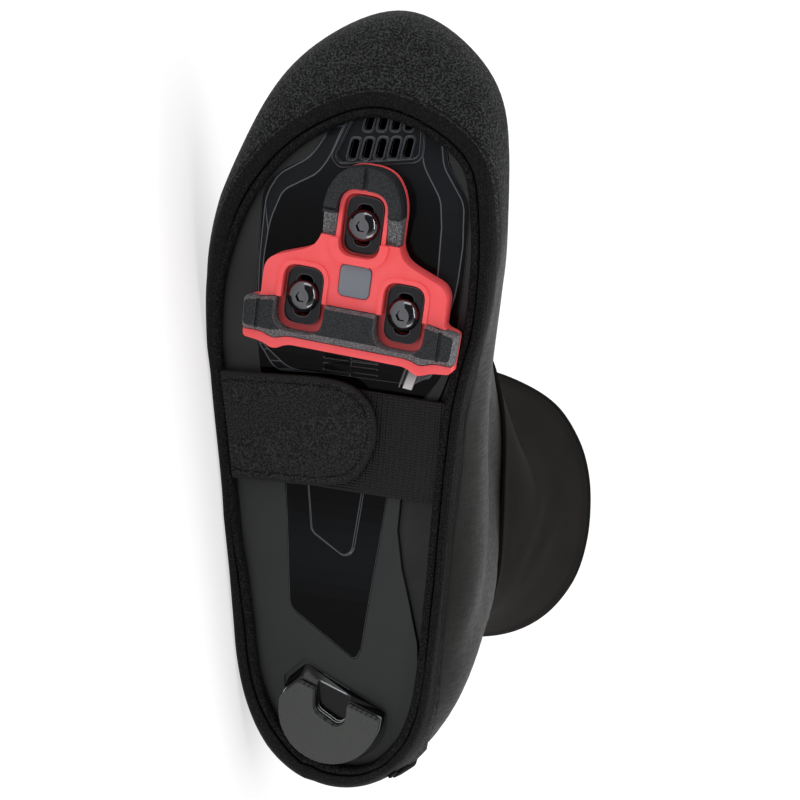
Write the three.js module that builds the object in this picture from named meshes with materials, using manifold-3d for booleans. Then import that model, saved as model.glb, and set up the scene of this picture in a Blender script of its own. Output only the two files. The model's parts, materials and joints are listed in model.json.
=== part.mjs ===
// A cycling overshoe for the right foot, worn over a road shoe whose sole and cleat show underneath.
// It is modelled standing, with the toe along +Y, the outer side along +X and the sole down, in mm.
// At the end the whole shoe is laid on its outer side, where its rand, heel and cuff touch the ground.

import * as THREE from 'three';
import { mergeVertices } from 'three/addons/utils/BufferGeometryUtils.js';
import Module from 'manifold-3d';

const wasm = await Module();
wasm.setup();

// Driving dimensions of the fabric overshoe
const LENGTH = 291;
const BALL_WIDTH = 108;
const COLLAR_HEIGHT = 182;
const TOE_SPRING = 25;
const FABRIC = 1.8;
const RAND_FABRIC = 1.5;
const SHAFT_FABRIC = 1.7;
const SEAM_STEP = 0.5;
const CUFF_STEP = 0.8;
const BINDING_WIDTH = 3.4;
const CLEARANCE = 0.3;
const RIM_LIFT = 1.5;
const BODY_LIFT = 12;

// Driving dimensions of the strap under the arch
const STRAP_WIDTH = 39;
const TAB_THICKNESS = 2;
const BAND_THICKNESS = 1.5;
const TAB_REACH = 7.5;
const BAND_SETBACK = 2;

// Driving dimensions of the sole
const OUTSOLE_THICKNESS = 6;
const INSOLE_THICKNESS = 3;
const MARGIN_SETBACK = 1.8;
const ARCH_CUT = 15;
const GROOVE_WIDTH = 1.2;
const PLATE_DEPTH = 2;
const RELIEF = 0.8;
const VENT_WIDTH = 3.2;
const VENT_LENGTH = 7.8;
const VENT_PITCH = 5;
const HEEL_PAD_RADIUS = 19.8;
const HEEL_BLOCK_HEIGHT = 4.4;
const HEEL_TREAD_HEIGHT = 3.6;
const HEEL_RAMP = 3;

// Driving dimensions of the cleat and its bolts
const CLEAT_WIDTH = 80.5;
const CLEAT_LENGTH = 70;
const CLEAT_TURN = 3.3;
const CLEAT_BODY = 8.5;
const CLEAT_PAD = 11.5;
const NOSE_WALL = 1.6;
const NOSE_STEP = 2.2;
const NOSE_GROOVE = 2;
const PAD_SEAT = 4;
const BOLT_SPACING = 38;
const BOLT_STAGGER = 29.5;
const BOLT_INSET = 18;
const BOLT_HEAD = 12;
const BOLT_HEAD_HEIGHT = 3;
const BOLT_FACETS = 12;
const BOLT_SHANK = 4.8;
const HEX_SOCKET = 4.2;
const WASHER = { width: 13.6, length: 21.2, round: 5, thickness: 2 };
const TRAVEL = { width: 6.2, length: 15.4, round: 2.9 };
const SLOT = { width: 15.6, length: 23.2, round: 5.5 };
const WASHER_SEAT = 4.2;
const BADGE = 11.5;
const BADGE_ROUND = 2.3;
const BADGE_RISE = 0.5;

// Driving dimensions of the back zip
const ZIP_WIDTH = 6;
const ZIP_THICKNESS = 1.6;
const STOP_THICKNESS = 2.4;
const SLIDER = { width: 8, thickness: 2.6 };

function namedRows(names, rows) {
  return rows.map((row) => Object.fromEntries(names.map((name, i) => [name, row[i]])));
}

// Height of the sole's underside along the shoe: along as a share of the length, rise of the toe spring
const SOLE_LINE = [
  { along: 0.00, rise: 0.34 },
  { along: 0.10, rise: 0.32 },
  { along: 0.25, rise: 0.38 },
  { along: 0.39, rise: 0.54 },
  { along: 0.55, rise: 0.53 },
  { along: 0.64, rise: 0.42 },
  { along: 0.74, rise: 0.40 },
  { along: 0.83, rise: 0.48 },
  { along: 0.92, rise: 0.72 },
  { along: 1.00, rise: 1.00 },
];

// Half-widths of the shoe from heel to toe, as shares of the ball width: of the opening under the sole,
// of the rim where the fabric turns up, and of the body at its widest
const STATION_COLUMNS = ['along', 'openAt', 'openOut', 'openIn', 'rimOut', 'rimIn', 'bodyOut', 'bodyIn'];
const STATIONS = namedRows(STATION_COLUMNS, [
  [0.03, 0.018, 0.111, 0.144, 0.198, 0.194, 0.213, 0.231],
  [0.12, 0.112, 0.268, 0.269, 0.319, 0.304, 0.338, 0.370],
  [0.26, 0.272, 0.343, 0.306, 0.394, 0.335, 0.412, 0.435],
  [0.40, 0.433, 0.422, 0.294, 0.460, 0.332, 0.477, 0.412],
  [0.54, 0.593, 0.486, 0.294, 0.530, 0.332, 0.546, 0.396],
  [0.68, 0.741, 0.503, 0.361, 0.566, 0.405, 0.583, 0.418],
  [0.81, 0.858, 0.431, 0.355, 0.475, 0.405, 0.495, 0.415],
  [0.93, 0.950, 0.264, 0.287, 0.318, 0.306, 0.335, 0.326],
]);

// The rings that the fabric follows, from the opening to the cuff. Back and front are where a ring
// crosses the shoe's middle, as shares of the length and of the collar height. lift is the height over
// the sole line, heel and toe scale the body's widths, and round turns the ring into an oval that reaches
// a share of its half length to the outer and to the inner side.
const RIM_RINGS = [
  { outline: 'open', backY: 0.028, frontY: 0.892, lift: -FABRIC - 2 * CLEARANCE },
  { outline: 'flange', lift: -FABRIC - 2 * CLEARANCE },
  { outline: 'rim', backY: 0.010, frontY: 0.989, lift: RIM_LIFT },
  { outline: 'body', backY: 0.006, frontY: 1.000, lift: BODY_LIFT },
];
const BODY_COLUMNS = ['backY', 'backZ', 'frontY', 'frontZ', 'heel', 'toe', 'round', 'out', 'in'];
const BODY_RINGS = namedRows(BODY_COLUMNS, [
  [0.006, 0.231, 0.992, 0.238, 0.99, 0.94, 0.00, 1.00, 1.00],
  [0.017, 0.319, 0.956, 0.301, 0.97, 0.80, 0.00, 1.00, 1.00],
  [0.031, 0.385, 0.894, 0.346, 0.95, 0.72, 0.00, 1.00, 1.00],
  [0.045, 0.440, 0.814, 0.389, 0.94, 0.63, 0.00, 1.00, 1.00],
  [0.059, 0.488, 0.727, 0.441, 0.94, 0.55, 0.10, 0.42, 0.44],
  [0.074, 0.533, 0.640, 0.506, 0.94, 0.52, 0.40, 0.45, 0.47],
  [0.088, 0.582, 0.558, 0.572, 0.94, 0.60, 0.80, 0.54, 0.54],
  [0.102, 0.648, 0.483, 0.643, 0.92, 0.70, 1.00, 0.76, 0.73],
  [0.111, 0.725, 0.422, 0.725, 1.00, 1.00, 1.00, 1.02, 0.94],
  [0.096, 0.824, 0.423, 0.825, 1.00, 1.00, 1.00, 1.04, 0.95],
  [0.071, 0.923, 0.430, 0.923, 1.00, 1.00, 1.00, 1.05, 0.96],
  [0.052, 1.000, 0.436, 1.000, 1.00, 1.00, 1.00, 1.06, 0.96],
]);
const RINGS = [...RIM_RINGS, ...BODY_RINGS];
const OVAL_POWER = 2.3;
const RIM_RING = 2;
const RAND_RING = 3;
const ANKLE_RING = 10;
const SEAM_RING = 12;
const CUFF_RING = 15;
const SHAFT_LAP = 0.3;
const HEM_SHARE = 0.5;
const FACETS_PER_STATION = 3;

// Outlines on the sole: across as a share of the ball width, along as a share of the length, and the
// corner's radius as a share of the ball width
const PLATE_OUTLINE = [
  { across: 0.13, along: 0.900, round: 0.01 },
  { across: 0.13, along: 0.869, round: 0.02 },
  { across: 0.19, along: 0.849, round: 0.03 },
  { across: 0.23, along: 0.821, round: 0.04 },
  { across: 0.33, along: 0.801, round: 0.04 },
  { across: 0.39, along: 0.777, round: 0.05 },
  { across: 0.39, along: 0.643, round: 0.08 },
  { across: 0.37, along: 0.543, round: 0.08 },
  { across: 0.25, along: 0.405, round: 0.08 },
  { across: 0.19, along: 0.237, round: 0.03 },
  { across: -0.06, along: 0.180, round: 0.02 },
  { across: -0.08, along: 0.196, round: 0.02 },
  { across: -0.12, along: 0.405, round: 0.06 },
  { across: -0.17, along: 0.502, round: 0.08 },
  { across: -0.28, along: 0.560, round: 0.06 },
  { across: -0.325, along: 0.625, round: 0.06 },
  { across: -0.335, along: 0.694, round: 0.05 },
  { across: -0.335, along: 0.787, round: 0.05 },
  { across: -0.24, along: 0.832, round: 0.04 },
  { across: -0.22, along: 0.900, round: 0.01 },
];
const PLATEAU_OUTLINE = [
  { across: 0.11, along: 0.900, round: 0.01 },
  { across: 0.11, along: 0.862, round: 0.02 },
  { across: 0.17, along: 0.811, round: 0.03 },
  { across: 0.31, along: 0.777, round: 0.03 },
  { across: 0.36, along: 0.732, round: 0.03 },
  { across: 0.37, along: 0.580, round: 0.03 },
  { across: 0.26, along: 0.550, round: 0.03 },
  { across: -0.20, along: 0.550, round: 0.03 },
  { across: -0.24, along: 0.690, round: 0.03 },
  { across: -0.24, along: 0.790, round: 0.03 },
  { across: -0.18, along: 0.825, round: 0.03 },
  { across: -0.15, along: 0.900, round: 0.01 },
];
const ARCH_RELIEF_OUTLINE = [
  { across: 0.20, along: 0.500, round: 0.02 },
  { across: 0.17, along: 0.405, round: 0.02 },
  { across: 0.135, along: 0.341, round: 0.02 },
  { across: 0.01, along: 0.310, round: 0.02 },
  { across: -0.02, along: 0.318, round: 0.02 },
  { across: -0.04, along: 0.405, round: 0.02 },
  { across: -0.05, along: 0.500, round: 0.02 },
];
const GRILLE_OUTLINE = [
  { across: 0.10, along: 0.897, round: 0.01 },
  { across: 0.16, along: 0.823, round: 0.02 },
  { across: 0.13, along: 0.811, round: 0.02 },
  { across: -0.14, along: 0.828, round: 0.02 },
  { across: -0.16, along: 0.838, round: 0.02 },
  { across: -0.15, along: 0.897, round: 0.01 },
];
const VENT_ROWS = [
  { count: 5, across: -0.008, along: 0.839 },
  { count: 4, across: -0.029, along: 0.875 },
];

// Half outlines of the cleat: across as a share of its width, back to front as a share of its length
const CLEAT_OUTLINE = [
  { across: 0.00, along: 0.01, round: 0 },
  { across: 0.28, along: 0.01, round: 0.03 },
  { across: 0.34, along: -0.03, round: 0.03 },
  { across: 0.40, along: 0.00, round: 0.03 },
  { across: 0.49, along: 0.00, round: 0.02 },
  { across: 0.50, along: 0.20, round: 0.02 },
  { across: 0.43, along: 0.22, round: 0.02 },
  { across: 0.43, along: 0.43, round: 0.06 },
  { across: 0.22, along: 0.52, round: 0.05 },
  { across: 0.18, along: 0.60, round: 0.04 },
  { across: 0.18, along: 0.84, round: 0.10 },
  { across: 0.10, along: 0.985, round: 0.08 },
  { across: 0.00, along: 1.00, round: 0 },
];
const TAIL_PAD_OUTLINE = [
  { across: 0.00, along: 0.035, round: 0 },
  { across: 0.29, along: 0.035, round: 0.03 },
  { across: 0.35, along: 0.01, round: 0.03 },
  { across: 0.41, along: 0.04, round: 0.03 },
  { across: 0.485, along: 0.04, round: 0.02 },
  { across: 0.485, along: 0.18, round: 0.02 },
  { across: 0.40, along: 0.20, round: 0.02 },
  { across: 0.36, along: 0.215, round: 0.02 },
  { across: 0.00, along: 0.19, round: 0 },
];

// Places along the shoe, as shares of its length, and on the cleat, as shares of the cleat's length
const CLEAT_HEEL = 0.5843;
const HEEL_PAD_CENTRE = 0.117;
const STRAP_CENTRE = 0.470;
const ARCH_FROM = 0.155;
const ARCH_SPAN = 0.436;
const NOSE_FROM = 0.60;
const BADGE_CENTRE = 0.38;
const BAND_END = 0.22 * BALL_WIDTH;
const CLEAT_CENTRE = 0.0075 * BALL_WIDTH;
const GRILLE_CENTRE = { across: -0.028, along: 0.900 };
const GRILLE_RIM = 0.86;

// The notch in the heel pad, from its middle, as shares of the pad's radius
const HEEL_NOTCH = [
  { across: -0.33, along: 1.5, round: 0 },
  { across: -0.33, along: 0, round: 0.15 },
  { across: -0.05, along: -0.20, round: 0.15 },
  { across: 0.25, along: -0.08, round: 0.15 },
  { across: 0.30, along: 1.5, round: 0 },
];
const NOTCH_DEPTH = 1.5;
const HEEL_FACETS = 8;

// Colours of the real materials
const COATED = '#3f403e';
const TEXTILE = '#1c1c1d';
const SHAFT_KNIT = '#2b2927';
const SATIN_RUBBER = '#3a3b3c';
const INSOLE_FOAM = '#26272a';
const GLOSS_PLATE = '#15161a';
const HEEL_GLOSS = '#17181a';
const CLEAT_RED = '#f05052';
const CLEAT_BLACK = '#2a2c30';
const BADGE_GREY = '#7b7d86';
const WASHER_BLACK = '#17181a';
const BOLT_STEEL = '#6c6e72';
const ZIP_BLACK = '#141415';

function mix(a, b, t) {
  return a + (b - a) * t;
}

function lookUp(rows, along, column) {
  const last = rows.length - 1;
  const past = rows.findIndex((row) => row.along >= along);
  const next = past < 0 ? last : Math.max(1, past);
  const slope = (i) => {
    const before = rows[Math.max(0, i - 1)];
    const after = rows[Math.min(last, i + 1)];
    return (after[column] - before[column]) / (after.along - before.along);
  };
  const [a, b] = [rows[next - 1], rows[next]];
  const span = b.along - a.along;
  const t = Math.min(1, Math.max(0, (along - a.along) / span));
  const bow = t * (1 - t) * span * ((1 - t) * slope(next - 1) - t * slope(next));
  const rise = (b[column] - a[column]) * t * t * (3 - 2 * t);
  return a[column] + rise + bow;
}

function soleHeight(y) {
  return TOE_SPRING * lookUp(SOLE_LINE, y / LENGTH, 'rise');
}

// One control point of a ring: side is 1 on the outer side of the foot and -1 on the inner side
function ringPoint(ring, station, side) {
  const end = side > 0 ? 'Out' : 'In';
  if (ring.outline === 'flange') {
    const edge = ringPoint(RINGS[0], station, side);
    const rim = ringPoint(RINGS[RIM_RING], station, side);
    const y = (edge[1] + rim[1]) / 2;
    return [(edge[0] + rim[0]) / 2, y, soleHeight(y) + ring.lift];
  }
  const at = ring.outline === 'open' ? station.openAt : station.along;
  const y = LENGTH * mix(ring.backY, ring.frontY, at);
  if (ring.outline) {
    return [side * station[ring.outline + end] * BALL_WIDTH, y, soleHeight(y) + ring.lift];
  }
  const foot = station['body' + end] * BALL_WIDTH * mix(ring.heel, ring.toe, station.along);
  const radius = LENGTH * (ring.frontY - ring.backY) / 2;
  const fullness = (1 - Math.abs(2 * station.along - 1) ** OVAL_POWER) ** (1 / OVAL_POWER);
  const oval = (side > 0 ? ring.out : ring.in) * radius * fullness;
  const z = COLLAR_HEIGHT * mix(ring.backZ, ring.frontZ, station.along);
  return [side * mix(foot, oval, ring.round), y, z];
}

const BACK = { along: 0, openAt: 0, openOut: 0, openIn: 0, rimOut: 0, rimIn: 0, bodyOut: 0, bodyIn: 0 };
const FRONT = { ...BACK, along: 1, openAt: 1 };

const NET = RINGS.map((ring) => [
  ringPoint(ring, BACK, 1),
  ...STATIONS.map((station) => ringPoint(ring, station, 1)),
  ringPoint(ring, FRONT, 1),
  ...[...STATIONS].reverse().map((station) => ringPoint(ring, station, -1)),
]);
const AROUND = NET[0].length;
const COLUMNS = AROUND * FACETS_PER_STATION;

function spline(a, b, c, d, t) {
  return b.map((_, i) => 0.5 * (2 * b[i] + (c[i] - a[i]) * t
    + (2 * a[i] - 5 * b[i] + 4 * c[i] - d[i]) * t * t
    + (3 * b[i] - a[i] - 3 * c[i] + d[i]) * t * t * t));
}

// The overshoe's form: u runs around from the heel over the outer side, v from the opening to the cuff
function formPoint(u, v) {
  const start = Math.floor(u);
  const wrap = (k) => (start + k + AROUND) % AROUND;
  const along = (ring) => spline(...[-1, 0, 1, 2].map((k) => ring[wrap(k)]), u - start);
  const last = NET.length - 1;
  const row = Math.min(last - 1, Math.max(0, Math.floor(v)));
  const rings = [-1, 0, 1, 2].map((k) => along(NET[Math.min(last, Math.max(0, row + k))]));
  return new THREE.Vector3(...spline(...rings, v - row));
}

function formFrame(u, v) {
  const step = 0.02;
  const round = formPoint(u + step, v).sub(formPoint(u - step, v)).normalize();
  const up = formPoint(u, v + step).sub(formPoint(u, v - step)).normalize();
  const out = new THREE.Vector3().crossVectors(round, up).normalize();
  return { round, up: new THREE.Vector3().crossVectors(out, round), out };
}

function offsetPoint(u, v, distance) {
  return formPoint(u, v).addScaledVector(formFrame(u, v).out, distance);
}

function buildGeometry(points, faces) {
  const geometry = new THREE.BufferGeometry();
  const positions = points.flatMap((p) => [p.x, p.y, p.z]);
  geometry.setAttribute('position', new THREE.Float32BufferAttribute(positions, 3));
  geometry.setIndex(faces.flat());
  geometry.computeVertexNormals();
  return geometry;
}

// A closed fabric shell between an outer and an inner face, each a list of rows with a height v and a
// distance from the form
function fabricShell(outer, inner) {
  const points = [];
  [...outer, ...[...inner].reverse()].forEach((row) => {
    for (let i = 0; i < COLUMNS; i += 1) {
      points.push(offsetPoint(i / FACETS_PER_STATION, row.v, row.distance));
    }
  });
  return buildGeometry(points, bandFaces(outer.length + inner.length, COLUMNS, outer.length));
}

// Faces of a grid of equal rings, closed both ways. From the row named crossFrom on, the rings run back
// along the inner face, so their diagonals are crossed over to lie under those of the outer face.
function bandFaces(ringCount, perRing, crossFrom = ringCount) {
  const faces = [];
  for (let row = 0; row < ringCount; row += 1) {
    const next = (row + 1) % ringCount;
    for (let i = 0; i < perRing; i += 1) {
      const j = (i + 1) % perRing;
      const [a, b] = [row * perRing + i, row * perRing + j];
      const [c, d] = [next * perRing + j, next * perRing + i];
      faces.push(...(row < crossFrom ? [[a, b, c], [a, c, d]] : [[a, b, d], [b, c, d]]));
    }
  }
  return faces;
}

// A solid through sections with equal counts of points, with flat ends
function loft(sections) {
  const count = sections[0].length;
  const points = sections.flat();
  const faces = [];
  for (let row = 0; row + 1 < sections.length; row += 1) {
    for (let i = 0; i < count; i += 1) {
      const j = (i + 1) % count;
      faces.push([row * count + i, row * count + j, (row + 1) * count + j]);
      faces.push([row * count + i, (row + 1) * count + j, (row + 1) * count + i]);
    }
  }
  const top = (sections.length - 1) * count;
  for (let i = 1; i + 1 < count; i += 1) {
    faces.push([0, i + 1, i]);
    faces.push([top, top + i, top + i + 1]);
  }
  return buildGeometry(points, faces);
}

function toSolid(geometry) {
  const bare = new THREE.BufferGeometry();
  bare.setAttribute('position', geometry.getAttribute('position').clone());
  if (geometry.index) {
    bare.setIndex(geometry.index.clone());
  }
  const merged = mergeVertices(bare, 1e-4);
  return new wasm.Manifold(new wasm.Mesh({
    numProp: 3,
    vertProperties: new Float32Array(merged.getAttribute('position').array),
    triVerts: new Uint32Array(merged.index.array),
  }));
}

function fromSolid(solid) {
  const mesh = solid.getMesh();
  const geometry = new THREE.BufferGeometry();
  geometry.setAttribute('position', new THREE.BufferAttribute(new Float32Array(mesh.vertProperties), 3));
  geometry.setIndex(new THREE.BufferAttribute(new Uint32Array(mesh.triVerts), 1));
  geometry.computeVertexNormals();
  return geometry;
}

// A shape whose corners are rounded by their own radius
function roundedShape(corners) {
  const shape = new THREE.Shape();
  corners.forEach((corner, i) => {
    const here = new THREE.Vector2(corner.x, corner.y);
    const before = new THREE.Vector2(corners.at(i - 1).x, corners.at(i - 1).y);
    const next = corners[(i + 1) % corners.length];
    const after = new THREE.Vector2(next.x, next.y);
    const toBefore = Math.min(corner.round, 0.45 * here.distanceTo(before));
    const toAfter = Math.min(corner.round, 0.45 * here.distanceTo(after));
    const enter = here.clone().add(before.sub(here).setLength(toBefore));
    const leave = here.clone().add(after.sub(here).setLength(toAfter));
    if (i === 0) {
      shape.moveTo(enter.x, enter.y);
    } else {
      shape.lineTo(enter.x, enter.y);
    }
    if (corner.round > 0) {
      shape.quadraticCurveTo(here.x, here.y, leave.x, leave.y);
    }
  });
  shape.closePath();
  return shape;
}

function prism(shape, low, high, curveSegments = 2) {
  const options = { depth: high - low, bevelEnabled: false, curveSegments };
  const geometry = new THREE.ExtrudeGeometry(shape, options);
  geometry.translate(0, 0, low);
  return toSolid(geometry);
}

// A cut that passes right through the sole
function throughCut(shape, curveSegments) {
  return prism(shape, -COLLAR_HEIGHT, COLLAR_HEIGHT, curveSegments);
}

function soleShape(rows) {
  return roundedShape(rows.map((row) => ({
    x: row.across * BALL_WIDTH,
    y: row.along * LENGTH,
    round: row.round * BALL_WIDTH,
  })));
}

// A closed outline of points moved outwards by a distance
function grown(points, distance) {
  const turn = Math.sign(THREE.ShapeUtils.area(points));
  return points.map((point, i) => {
    const before = points.at(i - 1);
    const after = points[(i + 1) % points.length];
    const along = new THREE.Vector2(after.x - before.x, after.y - before.y).normalize();
    return new THREE.Vector2(point.x + turn * along.y * distance, point.y - turn * along.x * distance);
  });
}

function grownShape(shape, distance, curveSegments = 3) {
  const points = shape.getPoints(curveSegments);
  const closed = points[0].distanceTo(points.at(-1)) < 1e-6;
  return polygonShape(grown(closed ? points.slice(0, -1) : points, distance));
}

function polygonShape(points) {
  return new THREE.Shape(points.map((p) => new THREE.Vector2(p.x, p.y)));
}

function stadium(x, y, width, length, round) {
  return roundedShape([[-1, -1], [1, -1], [1, 1], [-1, 1]].map(([i, j]) => ({
    x: x + i * width / 2,
    y: y + j * length / 2,
    round,
  })));
}

// A layer of the sole between two heights over its curved underside
function soleLayer(low, high) {
  const steps = 20;
  const line = Array.from({ length: steps + 1 }, (_, i) => LENGTH * i / steps);
  const section = (x) => [
    ...line.map((y) => new THREE.Vector3(x, y, soleHeight(y) + low)),
    ...[...line].reverse().map((y) => new THREE.Vector3(x, y, soleHeight(y) + high)),
  ];
  const faces = [];
  const count = 2 * (steps + 1);
  for (let i = 0; i < count; i += 1) {
    const j = (i + 1) % count;
    faces.push([i, count + i, count + j], [i, count + j, j]);
  }
  for (let i = 0; i < steps; i += 1) {
    const top = count - 1 - i;
    faces.push([i, i + 1, top - 1], [i, top - 1, top]);
    faces.push([count + i, count + top - 1, count + i + 1], [count + i, count + top, count + top - 1]);
  }
  return toSolid(buildGeometry([...section(BALL_WIDTH), ...section(-BALL_WIDTH)], faces));
}

// The outline inside the fabric's flange, set back from the form by the wall and a margin
const FLANGE_V = 1.2;
const COLUMN_LIST = Array.from({ length: COLUMNS }, (_, i) => i / FACETS_PER_STATION);

function flangeOutline(setback, archCut) {
  const points = COLUMN_LIST.map((u) => {
    const point = formPoint(u, FLANGE_V);
    const arch = (point.y / LENGTH - ARCH_FROM) / ARCH_SPAN;
    const cut = point.x < 0 && arch > 0 && arch < 1 ? archCut * (1 - Math.cos(2 * Math.PI * arch)) / 2 : 0;
    return new THREE.Vector2(point.x + cut, point.y);
  });
  return polygonShape(grown(points, -setback));
}

// The window that the hem leaves open under the sole
function windowOutline(margin) {
  const points = COLUMN_LIST.map((u) => {
    const inwards = -2 * CLEARANCE - BINDING_WIDTH - margin;
    const point = formPoint(u, 0).addScaledVector(formFrame(u, 0).up, inwards);
    return new THREE.Vector2(point.x, point.y);
  });
  return polygonShape(points);
}

const object = new THREE.Group();
object.name = 'cycling_overshoe';
const shoe = new THREE.Group();
object.add(shoe);

function add(name, geometry, color, roughness, metalness = 0) {
  const material = new THREE.MeshStandardMaterial({ color, roughness, metalness });
  const mesh = new THREE.Mesh(geometry, material);
  mesh.name = name;
  shoe.add(mesh);
  return mesh;
}

const SOLE_ROWS = [0, 1, 1.5, 2, 2.5, 3];
const VAMP_ROWS = [4, 5, 6, 7, 8, 9, ANKLE_RING - SHAFT_LAP, ANKLE_RING];
const SHAFT_ROWS = [ANKLE_RING - SHAFT_LAP, ANKLE_RING, 11, SEAM_RING, 13.5, CUFF_RING];
const HEM_FROM = CUFF_RING - HEM_SHARE;
const STEP_RUN = 0.06;

function rowsAt(heights, distance) {
  return heights.map((v) => ({ v, distance }));
}

function buildUpper() {
  const heights = [...SOLE_ROWS, ...VAMP_ROWS];
  add('upper', fabricShell(rowsAt(heights, 0), rowsAt(heights, -FABRIC)), COATED, 0.45);
}

function buildRand() {
  const shell = fabricShell(rowsAt(SOLE_ROWS, CLEARANCE + RAND_FABRIC), rowsAt(SOLE_ROWS, CLEARANCE));
  add('rand', shell, TEXTILE, 0.95);
}

function shaftOuter(v) {
  const seam = v > SEAM_RING ? SEAM_STEP : 0;
  const hem = v > HEM_FROM ? CUFF_STEP : 0;
  return CLEARANCE + SHAFT_FABRIC + seam + hem;
}

function buildShaft() {
  const lower = [ANKLE_RING - SHAFT_LAP, ANKLE_RING, 11, SEAM_RING, SEAM_RING + STEP_RUN];
  const heights = [...lower, 13, 14, HEM_FROM, HEM_FROM + STEP_RUN, CUFF_RING];
  const outer = heights.map((v) => ({ v, distance: shaftOuter(v) }));
  add('shaft', fabricShell(outer, rowsAt(SHAFT_ROWS, CLEARANCE)), SHAFT_KNIT, 0.9);
}

// The hem is a rounded band swept around the opening, in front of the fabric's cut edge
function buildBinding() {
  const half = BINDING_WIDTH / 2;
  const low = -FABRIC;
  const high = CLEARANCE + RAND_FABRIC;
  const corner = BINDING_WIDTH / 4;
  const section = [
    [half, low], [half, high - corner], [half - corner, high], [corner - half, high],
    [-half, high - corner], [-half, low],
  ];
  const points = section.flatMap(([side, depth]) => Array.from({ length: COLUMNS }, (_, i) => {
    const u = i / FACETS_PER_STATION;
    const frame = formFrame(u, 0);
    const centre = formPoint(u, 0).addScaledVector(frame.up, -CLEARANCE - half);
    return centre.addScaledVector(frame.up, side).addScaledVector(frame.out, depth);
  }));
  const faces = bandFaces(section.length, COLUMNS).map(([a, b, c]) => [a, c, b]);
  add('opening_binding', buildGeometry(points, faces), TEXTILE, 0.9);
}

const SOLE_OUTLINE = flangeOutline(FABRIC + CLEARANCE, ARCH_CUT);
const FULL_OUTLINE = flangeOutline(FABRIC + CLEARANCE, 0);

function strapHeight() {
  return soleHeight(STRAP_CENTRE * LENGTH) - RELIEF - CLEARANCE - BAND_THICKNESS;
}

// The strap is cut to the window, so that its sewn end follows the hem
function strapPiece(shape, low, thickness, curveSegments) {
  return prism(shape, low, low + thickness, curveSegments).intersect(throughCut(windowOutline(0)));
}

function buildStrap() {
  const centre = STRAP_CENTRE * LENGTH;
  const back = centre - STRAP_WIDTH / 2;
  const front = centre + STRAP_WIDTH / 2;
  const bandLow = strapHeight();
  const band = polygonShape([
    { x: -BALL_WIDTH, y: back },
    { x: BAND_END, y: back },
    { x: BAND_END, y: front - BAND_SETBACK },
    { x: -BALL_WIDTH, y: front - BAND_SETBACK },
  ]);
  add('strap_band', fromSolid(strapPiece(band, bandLow, BAND_THICKNESS)), TEXTILE, 0.95);
  const tab = new THREE.Shape();
  const rounding = 0.8 * STRAP_WIDTH / 2;
  tab.moveTo(BALL_WIDTH, back);
  tab.lineTo(BALL_WIDTH, front);
  tab.lineTo(rounding - TAB_REACH, front);
  tab.absellipse(rounding - TAB_REACH, centre, rounding, STRAP_WIDTH / 2, Math.PI / 2, 1.5 * Math.PI, false);
  tab.closePath();
  const tabLow = bandLow - CLEARANCE - TAB_THICKNESS;
  add('strap_tab', fromSolid(strapPiece(tab, tabLow, TAB_THICKNESS, 12)), TEXTILE, 0.95);
}

function heelPadShape(grow, ramp) {
  const radius = HEEL_PAD_RADIUS + grow;
  const y = HEEL_PAD_CENTRE * LENGTH;
  const shape = new THREE.Shape();
  shape.moveTo(-radius * 0.97, y - 0.13 * radius + ramp);
  shape.lineTo(-radius * 0.97, y - 0.25 * radius);
  shape.absellipse(0, y - 0.1 * radius, radius, radius * 0.93, 1.05 * Math.PI, 2.1 * Math.PI, false);
  shape.lineTo(radius * 0.97, y + 0.22 * radius + ramp);
  shape.lineTo(radius * 0.62, y + 0.59 * radius + ramp);
  shape.closePath();
  return shape;
}

function heelNotch(grow) {
  const notch = roundedShape(HEEL_NOTCH.map((row) => ({
    x: row.across * HEEL_PAD_RADIUS,
    y: HEEL_PAD_CENTRE * LENGTH + row.along * HEEL_PAD_RADIUS,
    round: row.round * HEEL_PAD_RADIUS,
  })));
  return grownShape(notch, grow);
}

function buildSole() {
  const underside = soleLayer(0, OUTSOLE_THICKNESS);
  const heelSole = soleHeight(HEEL_PAD_CENTRE * LENGTH);
  const grooveShape = heelPadShape(GROOVE_WIDTH, HEEL_RAMP + GROOVE_WIDTH);
  const groove = prism(grooveShape, 0, heelSole + RELIEF, HEEL_FACETS);
  const plateHole = throughCut(soleShape(PLATE_OUTLINE));
  const pocket = soleLayer(-OUTSOLE_THICKNESS, PLATE_DEPTH + CLEARANCE).intersect(plateHole);
  const outsole = underside.intersect(throughCut(SOLE_OUTLINE)).subtract(pocket).subtract(groove);
  add('outsole', fromSolid(outsole), SATIN_RUBBER, 0.5);

  const margin = soleLayer(MARGIN_SETBACK, OUTSOLE_THICKNESS)
    .intersect(throughCut(FULL_OUTLINE))
    .subtract(throughCut(flangeOutline(FABRIC, ARCH_CUT)));
  const largest = margin.decompose().sort((a, b) => b.volume() - a.volume())[0];
  add('sole_margin', fromSolid(largest), COATED, 0.6);

  const insoleShape = flangeOutline(FABRIC + 4 * CLEARANCE, 0);
  const top = OUTSOLE_THICKNESS + CLEARANCE;
  const insole = soleLayer(top, top + INSOLE_THICKNESS).intersect(throughCut(insoleShape));
  add('insole', fromSolid(insole), INSOLE_FOAM, 0.95);
}

function ventCutters() {
  return VENT_ROWS.flatMap((row) => Array.from({ length: row.count }, (_, i) => {
    const x = row.across * BALL_WIDTH + (i - (row.count - 1) / 2) * VENT_PITCH;
    return throughCut(stadium(x, row.along * LENGTH, VENT_WIDTH, VENT_LENGTH, VENT_WIDTH / 4), 1);
  }));
}

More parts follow.
